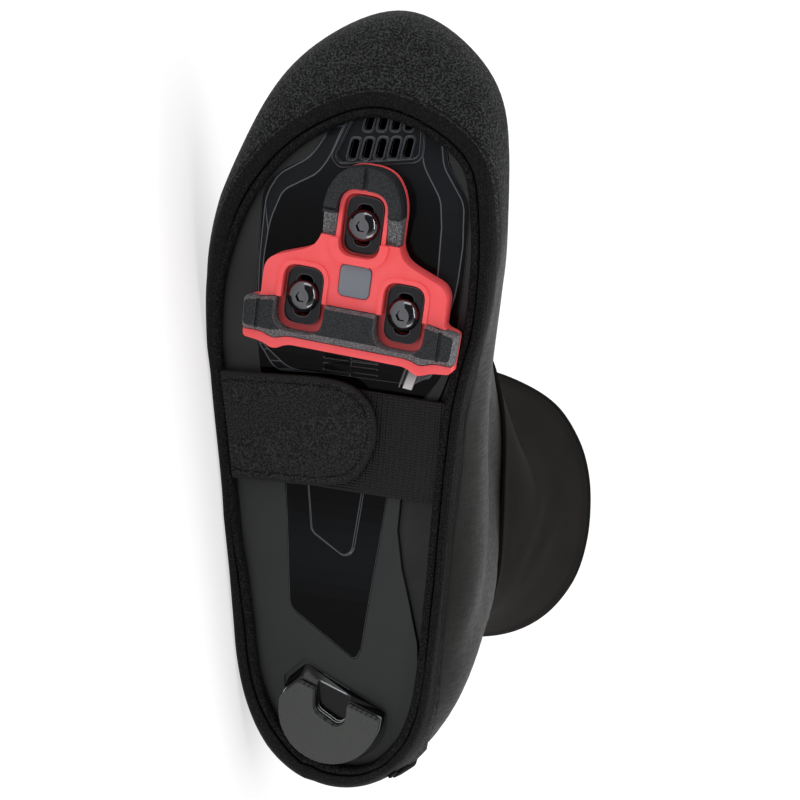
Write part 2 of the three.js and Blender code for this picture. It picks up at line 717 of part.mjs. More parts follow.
function buildPlate() {
  const inside = grownShape(soleShape(PLATE_OUTLINE), -CLEARANCE);
  const flat = soleLayer(0, PLATE_DEPTH).intersect(throughCut(inside));
  const bare = throughCut(windowOutline(2 * CLEARANCE));
  const raised = soleLayer(-RELIEF, PLATE_DEPTH / 2).intersect(bare);
  const plateau = raised.intersect(throughCut(soleShape(PLATEAU_OUTLINE)));
  const arch = raised.intersect(throughCut(soleShape(ARCH_RELIEF_OUTLINE)));
  const inner = GRILLE_OUTLINE.map((row) => ({
    ...row,
    across: mix(GRILLE_CENTRE.across, row.across, GRILLE_RIM),
    along: mix(GRILLE_CENTRE.along, row.along, GRILLE_RIM),
  }));
  const frame = throughCut(soleShape(GRILLE_OUTLINE)).subtract(throughCut(soleShape(inner)));
  const rib = soleLayer(-2 * RELIEF, 0).intersect(bare).intersect(frame);
  let plate = flat.add(plateau).add(arch).add(rib);
  ventCutters().forEach((vent) => {
    plate = plate.subtract(vent);
  });
  add('sole_plate', fromSolid(plate), GLOSS_PLATE, 0.15);
}

function buildHeelPad() {
  const sole = soleHeight(HEEL_PAD_CENTRE * LENGTH);
  const blockLow = sole - HEEL_BLOCK_HEIGHT;
  const base = prism(heelPadShape(0, HEEL_RAMP), blockLow, sole + RELIEF - CLEARANCE, HEEL_FACETS);
  const block = base.intersect(throughCut(windowOutline(2 * CLEARANCE)));
  const notch = prism(heelNotch(0), blockLow - NOTCH_DEPTH, blockLow + NOTCH_DEPTH);
  add('heel_block', fromSolid(block.subtract(notch)), HEEL_GLOSS, 0.35);
  const treadTop = blockLow - CLEARANCE;
  const tread = prism(heelPadShape(-CLEARANCE, 0), treadTop - HEEL_TREAD_HEIGHT, treadTop, HEEL_FACETS);
  add('heel_tread', fromSolid(tread.subtract(throughCut(heelNotch(2 * CLEARANCE)))), SATIN_RUBBER, 0.7);
}

function cleatShape(rows) {
  const corner = (row, side) => ({
    x: CLEAT_CENTRE + side * row.across * CLEAT_WIDTH,
    y: CLEAT_HEEL * LENGTH + row.along * CLEAT_LENGTH,
    round: row.round * CLEAT_WIDTH,
  });
  const middle = (row) => row.across === 0;
  const right = rows.map((row) => corner(row, 1));
  const left = rows.filter((row) => !middle(row)).reverse().map((row) => corner(row, -1));
  return roundedShape([...right, ...left]);
}

const BOLTS = [
  { x: BOLT_SPACING / 2, y: BOLT_INSET },
  { x: -BOLT_SPACING / 2, y: BOLT_INSET },
  { x: 0, y: BOLT_INSET + BOLT_STAGGER },
].map((bolt) => ({ x: CLEAT_CENTRE + bolt.x, y: CLEAT_HEEL * LENGTH + bolt.y }));

// The cleat lies on the plateau: its depths are measured down from there
const CLEAT_TOP = Math.min(...[0, 0.3, 0.6, 1].map((t) => soleHeight(CLEAT_HEEL * LENGTH + t * CLEAT_LENGTH)))
  - RELIEF - CLEARANCE;

function cleatPrism(shape, from, to, curveSegments = 2) {
  return prism(shape, CLEAT_TOP - to, CLEAT_TOP - from, curveSegments);
}

// The cleat is set a little askew on its slots, turned about the nose bolt
function turned(solid) {
  const pivot = BOLTS[2];
  return solid.translate([-pivot.x, -pivot.y, 0]).rotate([0, 0, CLEAT_TURN]).translate([pivot.x, pivot.y, 0]);
}

// A cut into the cleat from its lower face up to a depth, or right through it
function cleatCut(shape, from = -CLEAT_PAD, curveSegments = 2) {
  return cleatPrism(shape, from, 2 * CLEAT_PAD, curveSegments);
}

function around(bolt, size, grow = 0) {
  return stadium(bolt.x, bolt.y, size.width + 2 * grow, size.length + 2 * grow, size.round + grow);
}

function noseRegion(gap) {
  const from = CLEAT_HEEL * LENGTH + NOSE_FROM * CLEAT_LENGTH + gap;
  return stadium(CLEAT_CENTRE, from + CLEAT_LENGTH / 2, CLEAT_WIDTH, CLEAT_LENGTH, 0);
}

// Outside the window the cleat's wings pass below the hem
function hemRoom() {
  const hemLow = CLEAT_TOP + RELIEF + RINGS[0].lift - RAND_FABRIC - CLEARANCE;
  const everything = stadium(0, LENGTH / 2, 2 * BALL_WIDTH, LENGTH, 0);
  return prism(everything, hemLow, COLLAR_HEIGHT).subtract(throughCut(windowOutline(0)));
}

function buildCleat() {
  const nose = BOLTS[2];
  const noseSeat = cleatCut(noseRegion(-CLEARANCE), PAD_SEAT - NOSE_WALL)
    .subtract(cleatCut(around(nose, SLOT, NOSE_WALL)));
  const tailSeat = cleatCut(grownShape(cleatShape(TAIL_PAD_OUTLINE), CLEARANCE), PAD_SEAT);
  const collarLow = CLEAT_PAD - 2 * CLEARANCE;
  const collar = cleatPrism(around(nose, SLOT, NOSE_WALL - CLEARANCE), WASHER_SEAT, collarLow);
  const badgeY = CLEAT_HEEL * LENGTH + BADGE_CENTRE * CLEAT_LENGTH;
  const badgeSide = BADGE + 2 * CLEARANCE;
  const badgeSeat = stadium(CLEAT_CENTRE, badgeY, badgeSide, badgeSide, BADGE_ROUND + CLEARANCE);
  let body = cleatPrism(cleatShape(CLEAT_OUTLINE), 0, CLEAT_BODY, 2)
    .subtract(noseSeat)
    .subtract(tailSeat)
    .add(collar)
    .subtract(cleatCut(badgeSeat, CLEAT_BODY - 2 * BADGE_RISE));
  BOLTS.forEach((bolt) => {
    body = body.subtract(cleatCut(around(bolt, SLOT), WASHER_SEAT));
    body = body.subtract(cleatCut(around(bolt, TRAVEL, 2 * CLEARANCE)));
  });
  add('cleat_body', fromSolid(turned(body).subtract(hemRoom())), CLEAT_RED, 0.4);

  const nosePad = cleatPrism(cleatShape(CLEAT_OUTLINE), PAD_SEAT - NOSE_WALL + CLEARANCE, CLEAT_PAD)
    .intersect(cleatCut(noseRegion(0)))
    .subtract(cleatCut(around(nose, SLOT, NOSE_WALL)))
    .subtract(noseCuts());
  add('cleat_nose_pad', fromSolid(turned(nosePad)), CLEAT_BLACK, 0.7);

  let tailPad = cleatPrism(cleatShape(TAIL_PAD_OUTLINE), PAD_SEAT + CLEARANCE, CLEAT_PAD);
  BOLTS.slice(0, 2).forEach((bolt) => {
    tailPad = tailPad.subtract(cleatCut(around(bolt, SLOT, NOSE_WALL)));
  });
  add('cleat_tail_pad', fromSolid(turned(tailPad)), CLEAT_BLACK, 0.7);

  const badge = stadium(CLEAT_CENTRE, badgeY, BADGE, BADGE, BADGE_ROUND);
  const badgeTop = CLEAT_BODY - 2 * BADGE_RISE + CLEARANCE;
  const badgePlate = cleatPrism(badge, badgeTop, CLEAT_BODY + BADGE_RISE);
  add('cleat_badge', fromSolid(turned(badgePlate)), BADGE_GREY, 0.6);
}

// The nose pad steps down beside the slot, and a groove parts it in the middle
function noseCuts() {
  const y = CLEAT_HEEL * LENGTH + NOSE_FROM * CLEAT_LENGTH;
  const step = stadium(CLEAT_CENTRE, y, CLEAT_WIDTH, CLEAT_LENGTH / 4, 0);
  const groove = stadium(CLEAT_CENTRE, y + CLEAT_LENGTH / 2, NOSE_GROOVE, CLEAT_LENGTH / 2, 0);
  return cleatCut(step, CLEAT_PAD - NOSE_STEP).add(cleatCut(groove, CLEAT_PAD - NOSE_GROOVE / 2));
}

function buildBolts() {
  const seat = WASHER_SEAT + CLEARANCE;
  const headFrom = seat + WASHER.thickness + CLEARANCE;
  BOLTS.forEach((bolt, i) => {
    const washer = cleatPrism(around(bolt, WASHER), seat, seat + WASHER.thickness)
      .subtract(cleatCut(around(bolt, TRAVEL)));
    add(`cleat_washer_${i + 1}`, fromSolid(turned(washer)), WASHER_BLACK, 0.25, 0.6);
    add(`cleat_bolt_${i + 1}`, fromSolid(turned(boltSolid(bolt, headFrom))), BOLT_STEEL, 0.2, 1);
  });
}

function boltSolid(bolt, headFrom) {
  const radius = BOLT_HEAD / 2;
  const rim = headFrom + BOLT_HEAD_HEIGHT / 4;
  const profile = [
    new THREE.Vector2(0, CLEARANCE),
    new THREE.Vector2(BOLT_SHANK / 2, CLEARANCE),
    new THREE.Vector2(BOLT_SHANK / 2, headFrom),
    new THREE.Vector2(radius, headFrom),
    new THREE.Vector2(radius, rim),
    new THREE.Vector2(radius * 0.86, mix(headFrom, headFrom + BOLT_HEAD_HEIGHT, 0.7)),
    new THREE.Vector2(radius * 0.6, headFrom + BOLT_HEAD_HEIGHT),
    new THREE.Vector2(0, headFrom + BOLT_HEAD_HEIGHT),
  ];
  const lathe = new THREE.LatheGeometry(profile, BOLT_FACETS);
  lathe.rotateX(-Math.PI / 2);
  lathe.translate(bolt.x, bolt.y, CLEAT_TOP);
  const hex = new THREE.Shape(Array.from({ length: 6 }, (_, k) => new THREE.Vector2(
    bolt.x + HEX_SOCKET / 2 * Math.cos(Math.PI * k / 3),
    bolt.y + HEX_SOCKET / 2 * Math.sin(Math.PI * k / 3),
  )));
  return toSolid(lathe).subtract(cleatCut(hex, rim));
}

// The back zip starts on the inner side of the heel, and its line turns to the middle of the ankle's back
const ZIP_FOOT_U = AROUND - 1;
const ZIP_TURN = [6, SEAM_RING];

function zipU(v) {
  const t = Math.min(1, Math.max(0, (v - ZIP_TURN[0]) / (ZIP_TURN[1] - ZIP_TURN[0])));
  return mix(ZIP_FOOT_U, AROUND, t * t * (3 - 2 * t));
}

function zipOuter(v) {
  const rand = v <= RAND_RING + 0.2 ? CLEARANCE + RAND_FABRIC : 0;
  const shaft = v >= ANKLE_RING - SHAFT_LAP - 0.15 ? shaftOuter(v + 0.2) : 0;
  return Math.max(rand, shaft);
}

function alongZip(heights, width, lift, thickness) {
  return loft(heights.map((v) => {
    const step = 0.02;
    const frame = formFrame(zipU(v), v);
    const centre = formPoint(zipU(v), v).addScaledVector(frame.out, zipOuter(v) + lift);
    const run = formPoint(zipU(v + step), v + step).sub(formPoint(zipU(v - step), v - step));
    const side = new THREE.Vector3().crossVectors(run, frame.out).normalize();
    return [[1, 0], [-1, 0], [-1, 1], [1, 1]].map(([aside, high]) => centre.clone()
      .addScaledVector(side, aside * width / 2)
      .addScaledVector(frame.out, high * thickness));
  }));
}

function buildZip() {
  const lift = 2 * CLEARANCE;
  const foot = [2.5, 3, 3.2, 3.45, 4, 5, 6, 7, 8, 9, ANKLE_RING - 0.6];
  const leg = [ANKLE_RING - 0.45, 10, 11, SEAM_RING - 0.2, SEAM_RING - 0.1, 13, 14, CUFF_RING - 0.8];
  add('zip_coil', alongZip([...foot, ...leg], ZIP_WIDTH, lift, ZIP_THICKNESS), ZIP_BLACK, 0.6);
  add('zip_stop', alongZip([2.1, 2.35], ZIP_WIDTH, lift, STOP_THICKNESS), ZIP_BLACK, 0.8);
  const onCoil = lift + ZIP_THICKNESS + CLEARANCE;
  add('zip_slider', alongZip([13.9, 14.15], SLIDER.width, onCoil, SLIDER.thickness), ZIP_BLACK, 0.4, 0.5);
}

buildUpper();
buildRand();
buildShaft();
buildBinding();
buildStrap();
buildSole();
buildPlate();
buildHeelPad();
buildCleat();
buildBolts();
buildZip();

// Laying the shoe down: it touches the ground at the outermost point of the forefoot, heel and cuff
function groundContacts(down) {
  const zones = [
    (p) => p.y > 0.5 * LENGTH && p.z < 0.3 * COLLAR_HEIGHT,
    (p) => p.y < 0.35 * LENGTH && p.z < 0.3 * COLLAR_HEIGHT,
    (p) => p.z > 0.8 * COLLAR_HEIGHT,
  ];
  const best = zones.map(() => ({ reach: -Infinity, point: null }));
  shoe.children.forEach((mesh) => {
    const position = mesh.geometry.getAttribute('position');
    for (let i = 0; i < position.count; i += 1) {
      const point = new THREE.Vector3().fromBufferAttribute(position, i);
      zones.forEach((inside, k) => {
        if (inside(point) && point.dot(down) > best[k].reach) {
          best[k] = { reach: point.dot(down), point };
        }
      });
    }
  });
  return best.map((entry) => entry.point);
}

function layDown() {
  let down = new THREE.Vector3(1, 0, 0);
  for (let pass = 0; pass < 12; pass += 1) {
    const [forefoot, heel, cuff] = groundContacts(down);
    down = new THREE.Vector3().crossVectors(forefoot.clone().sub(heel), cuff.clone().sub(heel)).normalize();
    if (down.x < 0) {
      down.negate();
    }
  }
  const toe = new THREE.Vector3(0, 1, 0).addScaledVector(down, -down.y).normalize();
  const collar = new THREE.Vector3().crossVectors(down, toe);
  const turn = new THREE.Matrix4().makeBasis(toe.clone().negate(), collar, down.clone().negate()).transpose();
  shoe.setRotationFromMatrix(turn);
  shoe.updateMatrixWorld(true);
  const box = new THREE.Box3().setFromObject(shoe, true);
  const centre = box.getCenter(new THREE.Vector3());
  shoe.position.set(-centre.x, -centre.y, -box.min.z);
}

layDown();

export default object;
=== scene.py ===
# %% [markdown]
# # A cycling overshoe, dressed for the studio
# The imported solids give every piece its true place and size, and this lesson gives them their looks.
# Where a solid already has the right shape it keeps it and only gets a finish. Cloth gets a smoother copy of
# its solid, with folds, hems and stitches, hard pieces with fine edges are modelled anew from their outlines,
# and each new piece then stands for its solid.

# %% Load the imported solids
import json
import math
from contextlib import contextmanager

import bmesh
import bpy
import numpy as np
from mathutils import Matrix, Vector
from mathutils.kdtree import KDTree


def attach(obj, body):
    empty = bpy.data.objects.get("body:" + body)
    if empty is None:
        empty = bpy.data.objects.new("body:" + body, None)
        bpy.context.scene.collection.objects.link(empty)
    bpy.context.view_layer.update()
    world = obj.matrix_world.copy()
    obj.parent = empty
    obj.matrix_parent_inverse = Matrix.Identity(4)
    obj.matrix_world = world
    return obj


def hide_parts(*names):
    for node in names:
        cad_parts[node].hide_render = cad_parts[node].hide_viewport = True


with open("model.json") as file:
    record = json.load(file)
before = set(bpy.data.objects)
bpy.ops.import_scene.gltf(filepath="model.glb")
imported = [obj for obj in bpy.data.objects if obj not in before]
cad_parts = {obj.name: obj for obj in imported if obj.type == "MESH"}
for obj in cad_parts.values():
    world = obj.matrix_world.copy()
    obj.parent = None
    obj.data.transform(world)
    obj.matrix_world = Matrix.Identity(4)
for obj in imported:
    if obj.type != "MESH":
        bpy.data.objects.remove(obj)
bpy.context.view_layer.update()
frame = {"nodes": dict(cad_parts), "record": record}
NODES = frame["nodes"]

# %% [markdown]
# ## The shoe's own directions
# The shoe lies on its outer side, so its length, width and height all run slanted through the scene. Two
# points of the record say how: the sole faces along their axis, and the line from the heel to the cleat runs
# along the foot. Everything after this is placed in the standing shoe's own millimetres: x to the outer side,
# y from the heel to the toe, z up from the sole.

# %% Find the shoe's own directions
MM = 0.001
CLEAT_POINT = Vector((0.8, 188.2, 0.328))
HEEL_POINT = Vector((-9.0, 26.0, -0.226))
mounts = {mount["name"]: mount for mount in frame["record"]["mounts"]}
up = -Vector(mounts["cleat_underside"]["axis"]).normalized()
between = Vector(mounts["cleat_underside"]["pos_m"]) - Vector(mounts["heel_tread_face"]["pos_m"])
between = (between - up * between.dot(up)).normalized()
across, along = (CLEAT_POINT - HEEL_POINT).xy.normalized()
outer = across * between - along * up.cross(between)
toe = along * between + across * up.cross(between)
axes = Matrix((outer, toe, up)).transposed()
SHOE = Matrix.Translation(Vector(mounts["cleat_underside"]["pos_m"]) - MM * (axes @ CLEAT_POINT))
SHOE = SHOE @ axes.to_4x4() @ Matrix.Scale(MM, 4)
TO_SHOE = SHOE.inverted()
print("toe direction:", [round(v, 4) for v in toe], "origin:", [round(v, 4) for v in SHOE.translation])

# %% [markdown]
# ## The camera
# The photo looks up at the sole, a little from the inner side and from the toe. The shoe's cleat, whose size
# is known, gives the scale: 2.72 pixels to a millimetre at the sole. The camera stands 1.2 m away, and its
# lens follows from that scale and a frame 800 pixels wide.

# %% Place the camera
VIEW_FROM_INNER = math.radians(14.5)
VIEW_FROM_TOE = math.radians(13.5)
VIEW_ROLL = math.radians(4.4)
VIEW_DISTANCE = 1200
VIEW_CENTRE = Vector((-13, 151, 20))
SENSOR_WIDTH = 36
FRAME_PIXELS = 800
PIXELS_PER_MM = 2.72

camera = bpy.data.cameras.new("camera")
camera_object = bpy.data.objects.new("camera", camera)
bpy.context.scene.collection.objects.link(camera_object)
bpy.context.scene.camera = camera_object
back = Vector((-math.sin(VIEW_FROM_INNER), 0, -math.cos(VIEW_FROM_INNER)))
right = Vector((-math.cos(VIEW_FROM_INNER), 0, math.sin(VIEW_FROM_INNER)))
top = Vector((0, 1, 0))
tilt, roll = VIEW_FROM_TOE, VIEW_ROLL
towards = back * math.cos(tilt) + top * math.sin(tilt)
top = top * math.cos(tilt) - back * math.sin(tilt)
image_right = right * math.cos(roll) + top * math.sin(roll)
image_up = top * math.cos(roll) - right * math.sin(roll)
turn = axes @ Matrix((image_right, image_up, towards)).transposed()
stand = SHOE @ (VIEW_CENTRE + VIEW_DISTANCE * towards)
camera_object.matrix_world = Matrix.Translation(stand) @ turn.to_4x4()
camera.sensor_width = SENSOR_WIDTH
camera.lens = SENSOR_WIDTH * PIXELS_PER_MM * VIEW_DISTANCE / FRAME_PIXELS
camera.clip_start = 0.05
camera.clip_end = 50
print("camera:", [round(v, 3) for v in camera_object.location], "lens:", round(camera.lens, 1))

# %% [markdown]
# ## Colours and nodes
# A hex colour is written for the screen, so one function turns it to the linear values that a shader reads.
# One more adds a node with its settings and links, and every finish below is made with it.

# %% Turn colours to linear, and add nodes
def colour(hex_text, alpha=1.0):
    parts = [int(hex_text[i:i + 2], 16) / 255 for i in (1, 3, 5)]
    return tuple(c / 12.92 if c <= 0.04045 else ((c + 0.055) / 1.055) ** 2.4 for c in parts) + (alpha,)


def add_node(tree, kind, inputs=None, **settings):
    """Adds a node: settings are its own properties, and inputs are values or links by name or number."""
    made = tree.nodes.new("ShaderNode" + kind)
    for name, value in settings.items():
        setattr(made, name, value)
    for name, value in (inputs or {}).items():
        if isinstance(value, bpy.types.NodeSocket):
            tree.links.new(value, made.inputs[name])
        else:
            made.inputs[name].default_value = value
    return made


def new_material(name, **inputs):
    """A material with its shader: values go straight on the shader's own sockets."""
    material = bpy.data.materials.new(name)
    material.use_nodes = True
    shader = material.node_tree.nodes["Principled BSDF"]
    for socket, value in inputs.items():
        shader.inputs[socket.replace("_", " ")].default_value = value
    return material, material.node_tree, shader

# %% [markdown]
# ## The studio
# A white light table carries the shoe, so that shadows on it stay faint, and it reaches far enough to fill
# the whole background. The room is bright overhead and dark behind the camera, because the sole's gloss
# plate mirrors what stands there. Narrow lamps draw the bright lines along its edges.

# %% Lay the floor
FLOOR_SIZE = 40
bpy.ops.mesh.primitive_plane_add(size=FLOOR_SIZE)
floor = bpy.context.object
floor.name = "studio_floor"
floor_paint, tree, shader = new_material(
    "light_table", Base_Color=colour("#aaaaaa"), Roughness=0.95, Specular_IOR_Level=0.1,
    Emission_Color=colour("#ffffff"), Emission_Strength=0.62,
)
floor.data.materials.append(floor_paint)
print("floor:", FLOOR_SIZE, "metres wide")

# %% Light the room
ROOM_FROM = Vector((-0.2, -0.95, 0.1))
world = bpy.data.worlds.new("studio")
bpy.context.scene.world = world
world.use_nodes = True
tree = world.node_tree
direction = add_node(tree, "TexCoord").outputs["Generated"]
facing = add_node(tree, "VectorMath", {0: direction, 1: ROOM_FROM}, operation="DOT_PRODUCT").outputs["Value"]
strength = add_node(tree, "MapRange", {
    "Value": facing, "From Min": 0.0, "From Max": 0.7, "To Min": 1.4, "To Max": 0.1,
}).outputs["Result"]
tree.links.new(strength, tree.nodes["Background"].inputs["Strength"])
tree.nodes["Background"].inputs["Color"].default_value = colour("#fdfdff")
LIGHTS = [
    {"name": "overhead", "at": (0.1, 0.3, 1.4), "size": (1.6, 0.3), "power": 4},
    {"name": "toe_strip", "at": (-1.4, -0.7, 0.4), "size": (0.4, 1.2), "power": 4.8},
    {"name": "heel_strip", "at": (1.4, -0.7, 0.5), "size": (0.4, 1.0), "power": 4},
    {"name": "top_strip", "at": (-0.1, -0.9, 1.1), "size": (1.2, 0.06), "power": 3},
]
LAMPS_FACE = Vector((0, 0, 0.05))
for row in LIGHTS:
    lamp = bpy.data.lights.new(row["name"], "AREA")
    lamp.shape = "RECTANGLE"
    lamp.size, lamp.size_y = row["size"]
    lamp.energy = row["power"]
    lamp_object = bpy.data.objects.new(row["name"], lamp)
    bpy.context.scene.collection.objects.link(lamp_object)
    lamp_object.location = row["at"]
    lamp_object.rotation_euler = (LAMPS_FACE - Vector(row["at"])).to_track_quat("-Z", "Y").to_euler()
bpy.context.scene.view_settings.view_transform = "Standard"
print("lamps:", len(LIGHTS))

# %% [markdown]
# ## A smooth copy of a solid
# The solids of the cloth pieces are faceted. Cloth could be sewn and simulated, but this cover is stretched
# tight over a last that the solids already follow. So a copy gets its loose triangles merged and joined to
# four-sided faces, its cut edges creased, and then a Subdivision Surface rounds it, close to the solid.

# %% Copy a solid as a smooth mesh
def deselect():
    bpy.ops.object.select_all(action="DESELECT")


def make_active(piece):
    deselect()
    piece.select_set(True)
    bpy.context.view_layer.objects.active = piece


@contextmanager
def editing(piece):
    """Opens a piece in edit mode with all of it selected, and closes it afterwards."""
    make_active(piece)
    bpy.ops.object.mode_set(mode="EDIT")
    bpy.ops.mesh.select_all(action="SELECT")
    yield
    bpy.ops.object.mode_set(mode="OBJECT")


SOLID_MERGE = 0.001 * MM


def smooth_copy(node, name, levels=2, crease_angle=60, crease=0.8):
    mesh = NODES[node].data.copy()
    mesh.materials.clear()
    piece = bpy.data.objects.new(name, mesh)
    bpy.context.scene.collection.objects.link(piece)
    with editing(piece):
        bpy.ops.mesh.remove_doubles(threshold=SOLID_MERGE)
        bpy.ops.mesh.tris_convert_to_quads(face_threshold=math.pi, shape_threshold=math.pi)
    bm = bmesh.new()
    bm.from_mesh(mesh)
    layer = bm.edges.layers.float.new("crease_edge")
    for edge in bm.edges:
        if len(edge.link_faces) == 2 and edge.calc_face_angle() > math.radians(crease_angle):
            edge[layer] = crease
    bm.to_mesh(mesh)
    bm.free()
    if levels:
        rounding = piece.modifiers.new("rounding", "SUBSURF")
        rounding.levels = rounding.render_levels = levels
        bpy.ops.object.modifier_apply(modifier=rounding.name)
    bpy.ops.object.shade_smooth()
    print(name, "faces:", len(mesh.polygons))
    return piece


def wear(piece, slot, node):
    """Gives a piece its finish, and lets it ride on the shoe in place of its solid."""
    if piece.data.materials:
        piece.data.materials[0] = FINISH[slot]
    else:
        piece.data.materials.append(FINISH[slot])
    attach(piece, "root")
    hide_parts(node)


# %% [markdown]
# ## Plates cut to an outline
# The sole's hard pieces are moulded plates. Each starts as a flat circle whose rim is moved to the piece's
# outline, and is extruded to its thickness, drawn in towards one face where its walls lean. Cuts are made by
# booleans, because a knife needs a window, and a small bevel then takes the light along every edge. Last the
# plate is turned with the shoe, and a long one is first cut in strips and laid on the sole's curve.

# %% Follow the sole's curve
SOLE_LENGTH = 291
TOE_SPRING = 25
SOLE_LINE = [
    (0.00, 0.34), (0.10, 0.32), (0.25, 0.38), (0.39, 0.54), (0.55, 0.53),
    (0.64, 0.42), (0.74, 0.40), (0.83, 0.48), (0.92, 0.72), (1.00, 1.00),
]


def sole_height(y):
    """Height of the sole's underside, in millimetres, at y along the shoe."""
    along = min(1.0, max(0.0, y / SOLE_LENGTH))
    last = len(SOLE_LINE) - 1
    after = next(i for i in range(1, last + 1) if SOLE_LINE[i][0] >= along)

    def slope(i):
        low, high = SOLE_LINE[max(0, i - 1)], SOLE_LINE[min(last, i + 1)]
        return (high[1] - low[1]) / (high[0] - low[0])

    (x0, z0), (x1, z1) = SOLE_LINE[after - 1], SOLE_LINE[after]
    span, t = x1 - x0, (along - x0) / (x1 - x0)
    bow = t * (1 - t) * span * ((1 - t) * slope(after - 1) - t * slope(after))
    return TOE_SPRING * (z0 + bow + (z1 - z0) * t * t * (3 - 2 * t))


print("sole at the middle:", round(sole_height(SOLE_LENGTH / 2), 2), "mm")

# %% Round the corners of an outline
CORNER_STEPS = 6
WIDE_CORNER = 6


def rounded(corners):
    """Points of an outline whose corners, rows of x, y and radius, are rounded."""
    points = []
    for i, (x, y, radius) in enumerate(corners):
        here = Vector((x, y))
        if not radius:
            points.append(here)
            continue
        before, after = Vector(corners[i - 1][:2]), Vector(corners[(i + 1) % len(corners)][:2])
        enter = here + (before - here).normalized() * min(radius, 0.45 * (before - here).length)
        leave = here + (after - here).normalized() * min(radius, 0.45 * (after - here).length)
        steps = CORNER_STEPS if radius < WIDE_CORNER else 3 * CORNER_STEPS
        for step in range(steps + 1):
            t = step / steps
            points.append(enter * (1 - t) ** 2 + here * (2 * t * (1 - t)) + leave * t ** 2)
    return points


# %% Raise a plate from its outline
RIM_MERGE = 1e-4


def plate(name, corners, low, high, low_corners=None):
    """A plate from its lower face at low to its upper face at high. low_corners, row for row like corners,
    shapes the lower face where the walls lean."""
    upper_rim = rounded(corners)
    lower_rim = rounded(low_corners or corners)
    deselect()
    bpy.ops.mesh.primitive_circle_add(vertices=len(upper_rim), radius=1, fill_type="NGON")
    piece = bpy.context.object
    piece.name = piece.data.name = name
    for vertex, point in zip(piece.data.vertices, upper_rim):
        vertex.co = (*point, high)
    with editing(piece):
        bpy.ops.mesh.extrude_region_move(TRANSFORM_OT_translate={"value": (0, 0, low - high)})
    lowered = [vertex for vertex in piece.data.vertices if vertex.co.z < (low + high) / 2]
    for vertex in lowered:
        nearest = min(range(len(upper_rim)), key=lambda i: (vertex.co.xy - upper_rim[i]).length)
        vertex.co = (*lower_rim[nearest], low)
    with editing(piece):
        bpy.ops.mesh.remove_doubles(threshold=RIM_MERGE)
        bpy.ops.mesh.normals_make_consistent(inside=False)
    return piece


# %% Cut and join plates, and round their edges
EDGE_MERGE = 1e-3
FLAT_ANGLE = math.radians(0.5)


def combine(piece, others, operation, finish=None, cut_finish=None):
    """Cuts the others out of a piece, or joins them to it, and removes them. cut_finish gives the walls of
    the cuts their own look beside the piece's finish."""
    if finish:
        piece.data.materials.append(finish)
    for other in others:
        if cut_finish:
            other.data.materials.append(cut_finish)
        change = piece.modifiers.new("combine", "BOOLEAN")
        change.operation = operation
        change.solver = "EXACT"
        change.material_mode = "TRANSFER" if cut_finish else "INDEX"
        change.object = other
        make_active(piece)
        bpy.ops.object.modifier_apply(modifier=change.name)
        bpy.data.objects.remove(other)
    return piece


def round_edges(piece, width, segments=2, angle=35, edge_finish=None, clamp=True):
    """Bevels the edges that turn by more than an angle. edge_finish gives the narrow new faces their own
    look, and clamp keeps the bevel narrower than the shortest edges beside it."""
    with editing(piece):
        bpy.ops.mesh.remove_doubles(threshold=EDGE_MERGE)
        bpy.ops.mesh.dissolve_limited(angle_limit=FLAT_ANGLE)
    bevel = piece.modifiers.new("edges", "BEVEL")
    bevel.width = width
    bevel.segments = segments
    bevel.limit_method = "ANGLE"
    bevel.use_clamp_overlap = clamp
    bevel.angle_limit = math.radians(angle)
    if edge_finish:
        if not piece.data.materials:
            piece.data.materials.append(edge_finish)
        piece.data.materials.append(edge_finish)
        bevel.material = len(piece.data.materials) - 1
    bpy.ops.object.modifier_apply(modifier=bevel.name)
    return piece


# %% Lay a plate in the shoe
def slice_mesh(piece, axis, step):
    """Cuts the whole mesh by parallel planes, so that it can follow a curve."""
    values = [vertex.co[axis] for vertex in piece.data.vertices]
    normal = [0, 0, 0]
    normal[axis] = 1
    place = math.ceil(min(values) / step) * step
    with editing(piece):
        while place < max(values):
            point = [0, 0, 0]
            point[axis] = place
            bpy.ops.mesh.select_all(action="SELECT")
            bpy.ops.mesh.bisect(plane_co=point, plane_no=normal, use_fill=False)
            place += step


def set_in_shoe(piece, follow_sole=False, strip=5, smooth_angle=18):
    """Lays a finished plate on the sole's curve if it follows it, and turns it with the shoe."""
    if follow_sole:
        slice_mesh(piece, 1, strip)
        for vertex in piece.data.vertices:
            vertex.co.z += sole_height(vertex.co.y)
    piece.data.transform(SHOE)
    with editing(piece):
        bpy.ops.mesh.quads_convert_to_tris()
    bpy.ops.object.shade_smooth_by_angle(angle=math.radians(smooth_angle))
    print(piece.name, "triangles:", len(piece.data.polygons))
    return piece


# %% [markdown]
# ## Finishes
# Every pattern is laid out in the shoe's own millimetres, so a grain that is one millimetre wide on the real
# cloth is one millimetre wide here. A picture of cloth would need seams and a fixed size, and these need
# neither. Small relief is bump, because real folds and edges are in the meshes already.

# %% Place patterns on the shoe
def in_shoe_mm(tree):
    """Where on the shoe a point lies, in the shoe's own millimetres."""
    location, rotation, _ = TO_SHOE.decompose()
    place = add_node(tree, "TexCoord").outputs["Object"]
    turned = {"Vector": place, "Location": location, "Rotation": rotation.to_euler(), "Scale": (1 / MM,) * 3}
    return add_node(tree, "Mapping", turned).outputs["Vector"]


def stretched(tree, where, size, stretch):
    shares = tuple(1 / (size * share) for share in stretch)
    return add_node(tree, "VectorMath", {0: where, 1: shares}, operation="MULTIPLY").outputs["Vector"]


